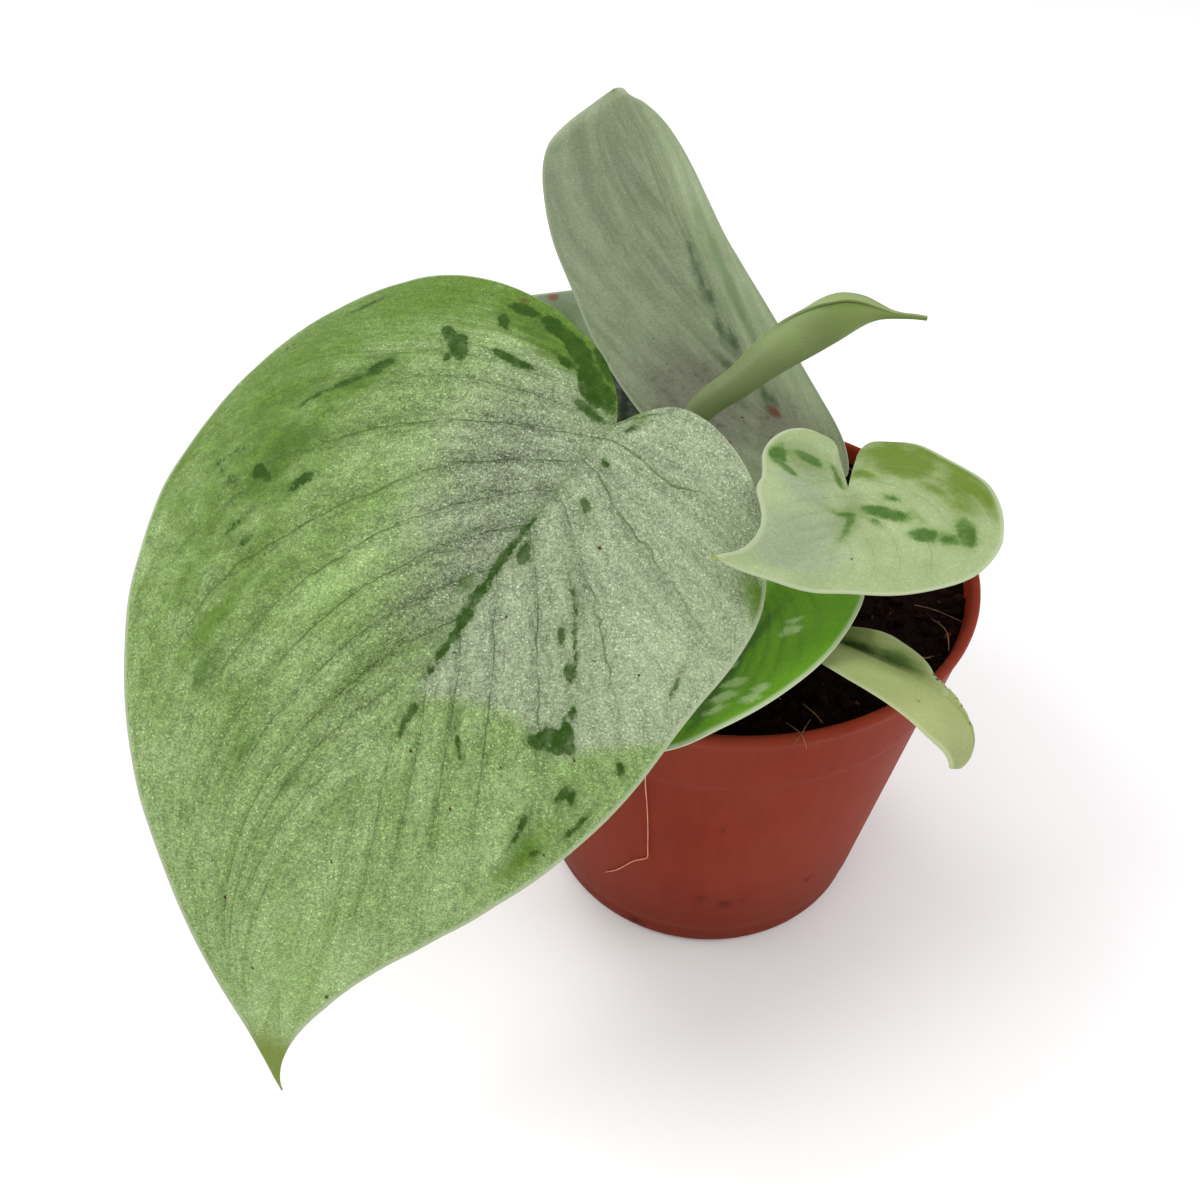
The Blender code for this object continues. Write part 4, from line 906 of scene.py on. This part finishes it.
def leaf_skin(name, ground, bright, grey, tint, patch, line, rim, tip, shade=0.66, rough=0.45, grain=1.0, veins=0.035, mottle=0.0,
              inset=6.0, early=0.95, fine=0.28, valley_shade=0.14, streaks=0.0, drift=0.0, soft=0.2, middle=0.25, deep=DEEP_GREEN,
              ripe=0.93, fringe=0.0, pleats=0.0, relief=0.35, gloss=0.2):
    """The upper side: ground colour with bloom, greener ground, patches, veins and a pale margin, with painted glints,
    painted shade beside the veins and painted shade and light from the shade field.
    """
    made, tree, shader = new_material(name, Specular_IOR_Level=gloss)
    grains = use_group(tree, satin, Cell=0.00016)
    vein = use_group(tree, lines, Width=veins, Inset=inset, Tip=early)
    masks = use_group(tree, edges, Ragged=1.2, Grain=0.35, Soft=soft)
    colour = over(tree, ramp(tree, grains["Mottle"], 0.3, 0.7), ground, bright)
    colour = over(tree, sum_of(tree, "MULTIPLY", masks["Grey"], 0.9), colour, grey)
    colour = over(tree, masks["Tint"], colour, tint)
    if drift:  # greener bands that follow the veins
        way = add(tree, "ShaderNodeCombineXYZ", {0: seen(tree, "vein"), 1: sum_of(tree, "MULTIPLY", seen(tree, "rim"), 0.06),
                                                 2: sum_of(tree, "MULTIPLY", seen(tree, "side"), 0.02)}).outputs[0]
        band = add(tree, "ShaderNodeTexNoise", {"Vector": way, "Scale": 0.9, "Detail": 4.0, "Roughness": 0.6}).outputs["Fac"]
        outer = sum_of(tree, "SUBTRACT", 1.0, sum_of(tree, "MULTIPLY", masks["Grey"], 0.8))
        colour = over(tree, sum_of(tree, "MULTIPLY", ramp(tree, band, 0.42, 0.72, 0.0, drift), outer), colour, tint)
    dim = ramp(tree, masks["Tint"], 0.0, 1.0, 1.0, 0.5)
    grain_glint_and_shade = sum_of(tree, "MULTIPLY", ramp(tree, grains["Sparkle"], 0.1, 0.95, -0.16 * grain, 0.16 * grain), dim)
    grain_glint_and_shade = sum_of(tree, "ADD", grain_glint_and_shade, ramp(tree, grains["Crinkle"], 0.3, 0.7, -0.08 * grain, 0.08 * grain))
    # Painted glints: sparse bright dots in the ground colour
    grain_glint_and_shade = sum_of(tree, "ADD", grain_glint_and_shade, sum_of(tree, "MULTIPLY", sum_of(tree, "MULTIPLY", grains["Glint"], dim), 0.6 * grain))
    if pleats:  # fine crinkles that run with the veins
        pleat = add(tree, "ShaderNodeCombineXYZ", {0: sum_of(tree, "MULTIPLY", seen(tree, "vein"), 6.0),
                                                   1: sum_of(tree, "MULTIPLY", seen(tree, "along"), 0.5)}).outputs[0]
        pleat = add(tree, "ShaderNodeTexNoise", {"Vector": pleat, "Scale": 1.0, "Detail": 3.0, "Roughness": 0.6}).outputs["Fac"]
        grain_glint_and_shade = sum_of(tree, "ADD", grain_glint_and_shade, ramp(tree, pleat, 0.3, 0.7, -pleats, pleats))
    # Painted shade in the valleys beside the veins
    grain_glint_and_shade = sum_of(tree, "SUBTRACT", grain_glint_and_shade, sum_of(tree, "MULTIPLY", vein["Valley_shade"], valley_shade))
    # Painted shade and painted light: the shade field darkens or lightens the ground
    grain_glint_and_shade = sum_of(tree, "SUBTRACT", grain_glint_and_shade, sum_of(tree, "MULTIPLY", seen(tree, "shade"), 1 - shade))
    if streaks:
        drawn = add(tree, "ShaderNodeCombineXYZ", {0: sum_of(tree, "MULTIPLY", seen(tree, "vein"), 0.8),
                                                   1: sum_of(tree, "MULTIPLY", seen(tree, "along"), 0.09)})
        drawn = add(tree, "ShaderNodeTexNoise", {"Vector": drawn.outputs[0], "Scale": 0.8, "Detail": 5.0, "Roughness": 0.6}).outputs["Fac"]
        grain_glint_and_shade = sum_of(tree, "ADD", grain_glint_and_shade, ramp(tree, drawn, 0.3, 0.7, -streaks, streaks))
    if mottle:  # specks and clouds in the greyest bloom
        dark = sum_of(tree, "MULTIPLY", ramp(tree, cloud(tree, add(tree, "ShaderNodeTexCoord").outputs["Object"], 0.0014, 4, 0.7), 0.5, 0.68), masks["Grey"])
        grain_glint_and_shade = sum_of(tree, "SUBTRACT", grain_glint_and_shade, sum_of(tree, "MULTIPLY", dark, mottle))
    colour = scaled(tree, colour, sum_of(tree, "ADD", 1.0, grain_glint_and_shade))
    colour = over(tree, sum_of(tree, "MULTIPLY", vein["Net"], fine), colour, line)
    colour = over(tree, sum_of(tree, "MULTIPLY", vein["Fine"], fine * 1.2), colour, line)
    colour = over(tree, sum_of(tree, "MULTIPLY", vein["Line"], 0.75), colour, line)
    middle = ramp(tree, sum_of(tree, "ABSOLUTE", seen(tree, "side")), 0.05, 0.30, middle, 0.0)
    colour = over(tree, sum_of(tree, "MULTIPLY", middle, ramp(tree, seen(tree, "tip"), 0.3, 0.7, 1.0, 0.3)), colour, line)
    colour = over(tree, sum_of(tree, "MULTIPLY", masks["Deep"], 0.55), colour, deep)
    if fringe:  # the green runs out round a patch
        colour = over(tree, sum_of(tree, "MULTIPLY", masks["Fringe"], fringe), colour, deep)
    colour = over(tree, masks["Patch"], colour, patch)
    colour = over(tree, sum_of(tree, "MULTIPLY", masks["Rust"], 0.85), colour, RUST)
    colour = over(tree, masks["Speck"], colour, SPECK_BROWN)
    colour = over(tree, ramp(tree, seen(tree, "rim"), 0.15, 0.75, 0.85, 0.0), colour, rim)
    colour = over(tree, ramp(tree, seen(tree, "tip"), ripe, ripe + 0.06), colour, tip)
    tree.links.new(colour, shader.inputs["Base Color"])
    tree.links.new(ramp(tree, grains["Sparkle"], 0.2, 0.9, rough + 0.12, rough - 0.06), shader.inputs["Roughness"])
    height = sum_of(tree, "ADD", sum_of(tree, "MULTIPLY", grains["Height"], 0.5), grains["Crinkle"])
    height = sum_of(tree, "SUBTRACT", height, sum_of(tree, "MULTIPLY", vein["Line"], 0.9))
    tree.links.new(bump(tree, height, 0.00014, relief), shader.inputs["Normal"])
    return made


def leaf_back_skin(name, ground, line):
    """The underside: paler and duller, its veins raised."""
    made, tree, shader = new_material(name, Specular_IOR_Level=0.25)
    grains = use_group(tree, satin, Cell=0.0003)
    vein = use_group(tree, lines, Width=0.05)
    colour = scaled(tree, ground[:3], ramp(tree, grains["Mottle"], 0.3, 0.7, 0.88, 1.12))
    colour = over(tree, sum_of(tree, "MULTIPLY", vein["Line"], 0.5), colour, line)
    tree.links.new(colour, shader.inputs["Base Color"])
    tree.links.new(ramp(tree, grains["Sparkle"], 0.2, 0.9, 0.58, 0.5), shader.inputs["Roughness"])
    height = sum_of(tree, "ADD", sum_of(tree, "MULTIPLY", grains["Height"], 0.3), vein["Line"])
    tree.links.new(bump(tree, height, 0.00012, 0.5), shader.inputs["Normal"])
    return made


LEAF_SKINS = {
    "leaf_main": dict(ground=(0.245, 0.365, 0.130, 1), bright=(0.315, 0.440, 0.185, 1), grey=(0.355, 0.420, 0.275, 1),
                      tint=(0.122, 0.225, 0.028, 1), patch=(0.026, 0.078, 0.002, 1), line=(0.080, 0.165, 0.035, 1),
                      rim=(0.450, 0.520, 0.330, 1), tip=(0.190, 0.260, 0.030, 1), inset=13.0, early=0.8, drift=0.45, valley_shade=0.14, ripe=0.87,
                      soft=0.15, fringe=0.35, pleats=0.14, relief=0.9, gloss=0.14, grain=1.55, veins=0.03),
    "leaf_back": dict(ground=(0.225, 0.275, 0.160, 1), bright=(0.255, 0.300, 0.190, 1), grey=(0.176, 0.176, 0.128, 1),
                      tint=(0.150, 0.205, 0.105, 1), patch=(0.080, 0.125, 0.060, 1), line=(0.180, 0.215, 0.120, 1),
                      rim=(0.330, 0.380, 0.250, 1), tip=(0.235, 0.290, 0.150, 1), rough=0.5, grain=0.5, fine=0.08,
                      valley_shade=0.0, streaks=0.17, shade=0.55, soft=0.5, middle=0.0, mottle=0.28, fringe=0.3, deep=(0.110, 0.150, 0.080, 1)),
    "leaf_right": dict(ground=(0.320, 0.400, 0.185, 1), bright=(0.375, 0.460, 0.235, 1), grey=(0.305, 0.370, 0.235, 1),
                       tint=(0.130, 0.210, 0.020, 1), patch=(0.055, 0.140, 0.016, 1), deep=(0.175, 0.285, 0.070, 1), line=(0.230, 0.330, 0.120, 1),
                       rim=(0.450, 0.520, 0.330, 1), tip=(0.300, 0.380, 0.050, 1), grain=0.4, fine=0.12, valley_shade=0.05, soft=0.28, middle=0.0, fringe=0.55),
    "leaf_under": dict(ground=(0.125, 0.330, 0.006, 1), bright=(0.165, 0.390, 0.012, 1), grey=(0.05, 0.17, 0.01, 1),
                       tint=(0.050, 0.150, 0.004, 1), patch=(0.400, 0.590, 0.230, 1), line=(0.100, 0.270, 0.006, 1),
                       rim=(0.550, 0.620, 0.420, 1), tip=(0.300, 0.380, 0.050, 1), rough=0.36, grain=0.45, fine=0.1, soft=0.28),
    # The young leaf's tint colour is the painted shade in its fold
    "leaf_young": dict(ground=(0.365, 0.420, 0.155, 1), bright=(0.395, 0.450, 0.180, 1), grey=(0.35, 0.41, 0.16, 1),
                       tint=(0.110, 0.190, 0.045, 1), patch=DEEP_GREEN, line=(0.300, 0.350, 0.125, 1), shade=0.6,
                       rim=(0.460, 0.510, 0.270, 1), tip=(0.350, 0.390, 0.140, 1), rough=0.48, grain=0.2, fine=0.1, valley_shade=0.0, middle=0.0),
    # The hidden leaf's near-black patch colour serves its real patches and the painted shadow at its base
    "leaf_behind": dict(ground=(0.160, 0.200, 0.125, 1), bright=(0.195, 0.235, 0.150, 1), grey=(0.19, 0.225, 0.15, 1),
                        tint=(0.110, 0.160, 0.070, 1), patch=(0.012, 0.026, 0.010, 1), line=(0.11, 0.17, 0.06, 1),
                        rim=(0.300, 0.360, 0.220, 1), tip=(0.235, 0.290, 0.100, 1), rough=0.5, grain=0.4),
}
UNDERSIDES = {"leaf_main": (0.270, 0.360, 0.165, 1), "leaf_back": (0.250, 0.330, 0.160, 1),
              "leaf_right": (0.330, 0.420, 0.200, 1), "leaf_under": (0.170, 0.290, 0.085, 1),
              "leaf_young": (0.350, 0.420, 0.180, 1), "leaf_behind": (0.220, 0.300, 0.135, 1)}
STEM_GREEN = (0.230, 0.330, 0.110, 1)
STEM_PALE = (0.330, 0.430, 0.190, 1)

stem_skin, tree, shader = new_material("stalk_skin", Specular_IOR_Level=0.3)
place = add(tree, "ShaderNodeTexCoord").outputs["Object"]
shade = cloud(tree, place, 0.003, 3)
fine = cloud(tree, place, 0.0004, 3)
tree.links.new(over(tree, ramp(tree, shade, 0.35, 0.65), STEM_GREEN, STEM_PALE), shader.inputs["Base Color"])
tree.links.new(ramp(tree, fine, 0.3, 0.7, 0.42, 0.55), shader.inputs["Roughness"])
tree.links.new(bump(tree, fine, 0.00005, 0.5), shader.inputs["Normal"])
for name, leaf in LEAVES.items():
    blade = grown_blade(name, leaf)
    blade.data.materials.clear()
    blade.data.materials.append(leaf_skin(name + "_skin", **LEAF_SKINS[name]))
    blade.data.materials.append(leaf_back_skin(name + "_underside", UNDERSIDES[name], LEAF_SKINS[name]["rim"]))
    grown = fused_stalk(blade, name, leaf)
    only(grown)
    bpy.ops.object.shade_smooth_by_angle(angle=math.radians(60))
    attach(grown, "root")
    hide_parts(name)

# Rolled new leaf: the youngest blade, still furled round itself as it comes out of the taller vine. Its
# outer edge shows as a line along the roll, opens a little near the top and runs out in a fine point.
ROLL = [(-5.2, 4.4, 73.2, 1.6), (-4.5, 4.0, 77.9, 1.8), (1.0, 4.8, 82.7, 2.2), (4.8, 5.8, 85.7, 2.7),
        (9.3, 6.9, 88.1, 2.85), (13.6, 7.8, 90.1, 2.6), (15.9, 8.2, 90.3, 1.8), (17.9, 8.4, 90.1, 0.95),
        (19.6, 8.5, 89.75, 0.45), (21.2, 8.6, 89.5, 0.26), (22.8, 8.65, 89.35, 0.2), (24.3, 8.7, 89.1, 0.16)]
ROLL_EDGE = [(0, 160), (0.45, 150), (0.58, 115), (0.68, 75), (0.80, 50), (1, 45)]  # where the free edge runs: share, degrees
ROLL_ROWS = 150
ROLL_STEPS = 96
ROLL_TURNS = 1.45
ROLL_INSET = 0.13
ROLL_THICK = 0.32
ROLL_SKIN = (0.165, 0.220, 0.082, 1)
ROLL_PALE = (0.205, 0.272, 0.092, 1)
ROLL_DARK = (0.105, 0.135, 0.060, 1)
ROLL_RIM = (0.290, 0.360, 0.150, 1)
ROLL_RIPE = (0.150, 0.215, 0.040, 1)


def smooth_path(points, shares):
    """Places and radii along a round line through the points."""
    rows = np.array(points, float)
    lengths = np.append(0, np.cumsum(np.linalg.norm(np.diff(rows[:, :3], axis=0), axis=1)))
    knots = lengths / lengths[-1]
    slopes = np.gradient(rows, knots, axis=0)
    index = np.clip(np.searchsorted(knots, shares, side="right") - 1, 0, len(knots) - 2)
    gap = (knots[index + 1] - knots[index])[:, None]
    s = ((shares - knots[index]) / gap[:, 0])[:, None]
    return ((2 * s ** 3 - 3 * s ** 2 + 1) * rows[index] + (s ** 3 - 2 * s ** 2 + s) * gap * slopes[index]
            + (3 * s ** 2 - 2 * s ** 3) * rows[index + 1] + (s ** 3 - s ** 2) * gap * slopes[index + 1])


shares = np.linspace(0, 1, ROLL_ROWS + 1)
line = smooth_path(ROLL, shares)
heading = np.gradient(line[:, :3], axis=0)
heading /= np.linalg.norm(heading, axis=1)[:, None]
aside = np.cross(heading, (0, 0, 1))
aside /= np.linalg.norm(aside, axis=1)[:, None]
upward = np.cross(aside, heading)
bpy.ops.object.select_all(action="DESELECT")
bpy.ops.mesh.primitive_grid_add(x_subdivisions=ROLL_ROWS, y_subdivisions=ROLL_STEPS, size=2)
roll = bpy.context.object
roll.name = "new_leaf_roll"
grid = spots_of(roll) * MM
row = np.clip(np.rint((grid[:, 0] + 1) / 2 * ROLL_ROWS).astype(int), 0, ROLL_ROWS)
wrap = (grid[:, 1] + 1) / 2
share = shares[row]
open_up = np.clip((share - 0.62) / 0.2, 0, 1) * np.clip((0.99 - share) / 0.15, 0, 1)
turns = ROLL_TURNS * (1 - 0.25 * open_up)
angle = np.radians(np.interp(share, *zip(*ROLL_EDGE))) + 2 * math.pi * turns * (1 - wrap)
lift = 1 - ROLL_INSET * (1 - wrap) * turns + 0.12 * open_up * wrap ** 4
radius = line[row, 3] * lift
spots = line[row, :3] + aside[row] * (radius * np.cos(angle))[:, None] + upward[row] * (radius * np.sin(angle))[:, None]
put_spots(roll, spots)
mark(roll, "wrap", wrap)
mark(roll, "share", share)
wall = roll.modifiers.new("Wall", "SOLIDIFY")
wall.thickness, wall.offset = ROLL_THICK * MM, 0
apply_modifiers(roll)
bpy.ops.object.shade_smooth_by_angle(angle=math.radians(60))

furled, tree, shader = new_material("new_leaf_skin", Specular_IOR_Level=0.28)
place = add(tree, "ShaderNodeTexCoord").outputs["Object"]
grains = use_group(tree, satin, Cell=0.0004)
wrap, share = seen(tree, "wrap"), seen(tree, "share")
strips = sum_of(tree, "ADD", sum_of(tree, "MULTIPLY", wrap, 46.0), sum_of(tree, "MULTIPLY", cloud(tree, place, 0.006, 2), 2.0))
strips = ramp(tree, sum_of(tree, "ABSOLUTE", sum_of(tree, "SUBTRACT", sum_of(tree, "FRACT", strips), 0.5)), 0.0, 0.35)
colour = over(tree, ramp(tree, grains["Mottle"], 0.3, 0.7), ROLL_SKIN, ROLL_PALE)
colour = over(tree, sum_of(tree, "MULTIPLY", sum_of(tree, "SUBTRACT", 1.0, strips), 0.08), colour, ROLL_DARK)
base = sum_of(tree, "MULTIPLY", ramp(tree, share, 0.15, 0.55, 1.0, 0.0), ramp(tree, grains["Mottle"], 0.3, 0.6))
colour = over(tree, sum_of(tree, "MULTIPLY", base, 0.6), colour, ROLL_DARK)
colour = over(tree, ramp(tree, share, 0.5, 0.8, 0.0, 0.9), colour, ROLL_RIPE)
colour = over(tree, ramp(tree, wrap, 0.85, 1.0, 0.0, 0.8), colour, ROLL_RIM)
tree.links.new(colour, shader.inputs["Base Color"])
tree.links.new(ramp(tree, grains["Sparkle"], 0.2, 0.9, 0.52, 0.44), shader.inputs["Roughness"])
height = sum_of(tree, "ADD", sum_of(tree, "MULTIPLY", grains["Height"], 0.2), strips)
tree.links.new(bump(tree, height, 0.00003, 0.4), shader.inputs["Normal"])
roll.data.materials.clear()
roll.data.materials.append(furled)
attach(roll, "root")
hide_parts("leaf_rolled")

# Studio: a plain pale floor under a broad soft light, seen from a little above as in the photograph.
CAMERA_AT = (-0.0172, -0.1242, 0.1596)
CAMERA_TILT = 48.293
CAMERA_LENS = 34.5
FLOOR_SIZE = 3.0
bpy.ops.object.select_all(action="DESELECT")
bpy.ops.mesh.primitive_plane_add(size=FLOOR_SIZE, location=(0, 0, -0.0002))
floor = bpy.context.object
floor.name = "floor"
ground, tree, shader = new_material("pale_floor", Roughness=0.9, Specular_IOR_Level=0.2)
place = add(tree, "ShaderNodeTexCoord").outputs["Object"]
tree.links.new(over(tree, cloud(tree, place, 0.2, 2), (0.96, 0.96, 0.96, 1), (0.98, 0.98, 0.98, 1)), shader.inputs["Base Color"])
floor.data.materials.append(ground)

world = bpy.data.worlds.new("soft_room")
world.use_nodes = True
world.node_tree.nodes["Background"].inputs["Color"].default_value = (1, 1, 1, 1)
world.node_tree.nodes["Background"].inputs["Strength"].default_value = 0.8
bpy.context.scene.world = world
for name, spot, aim, size, power in (("key", (-0.50, -0.10, 0.65), (0, 0, 0.05), 0.35, 2.2),
                                     ("rear", (-0.30, 0.45, 0.60), (0, 0, 0.05), 0.35, 1.0),
                                     ("fill", (0.60, -0.10, 0.30), (0, 0, 0.05), 0.4, 1.2)):
    lamp = bpy.data.lights.new(name, "AREA")
    lamp.shape, lamp.size, lamp.energy = "DISK", size, power
    holder = bpy.data.objects.new(name, lamp)
    bpy.context.scene.collection.objects.link(holder)
    holder.location = spot
    holder.rotation_euler = (Vector(aim) - Vector(spot)).to_track_quat("-Z", "Y").to_euler()
bpy.context.scene.view_settings.view_transform = "Standard"

lens = bpy.data.cameras.new("camera")
lens.lens, lens.sensor_width, lens.sensor_fit = CAMERA_LENS, 36.0, "HORIZONTAL"
lens.clip_start = 0.005
camera = bpy.data.objects.new("camera", lens)
bpy.context.scene.collection.objects.link(camera)
camera.location = CAMERA_AT
camera.rotation_euler = (math.radians(CAMERA_TILT), 0, 0)
bpy.context.scene.camera = camera
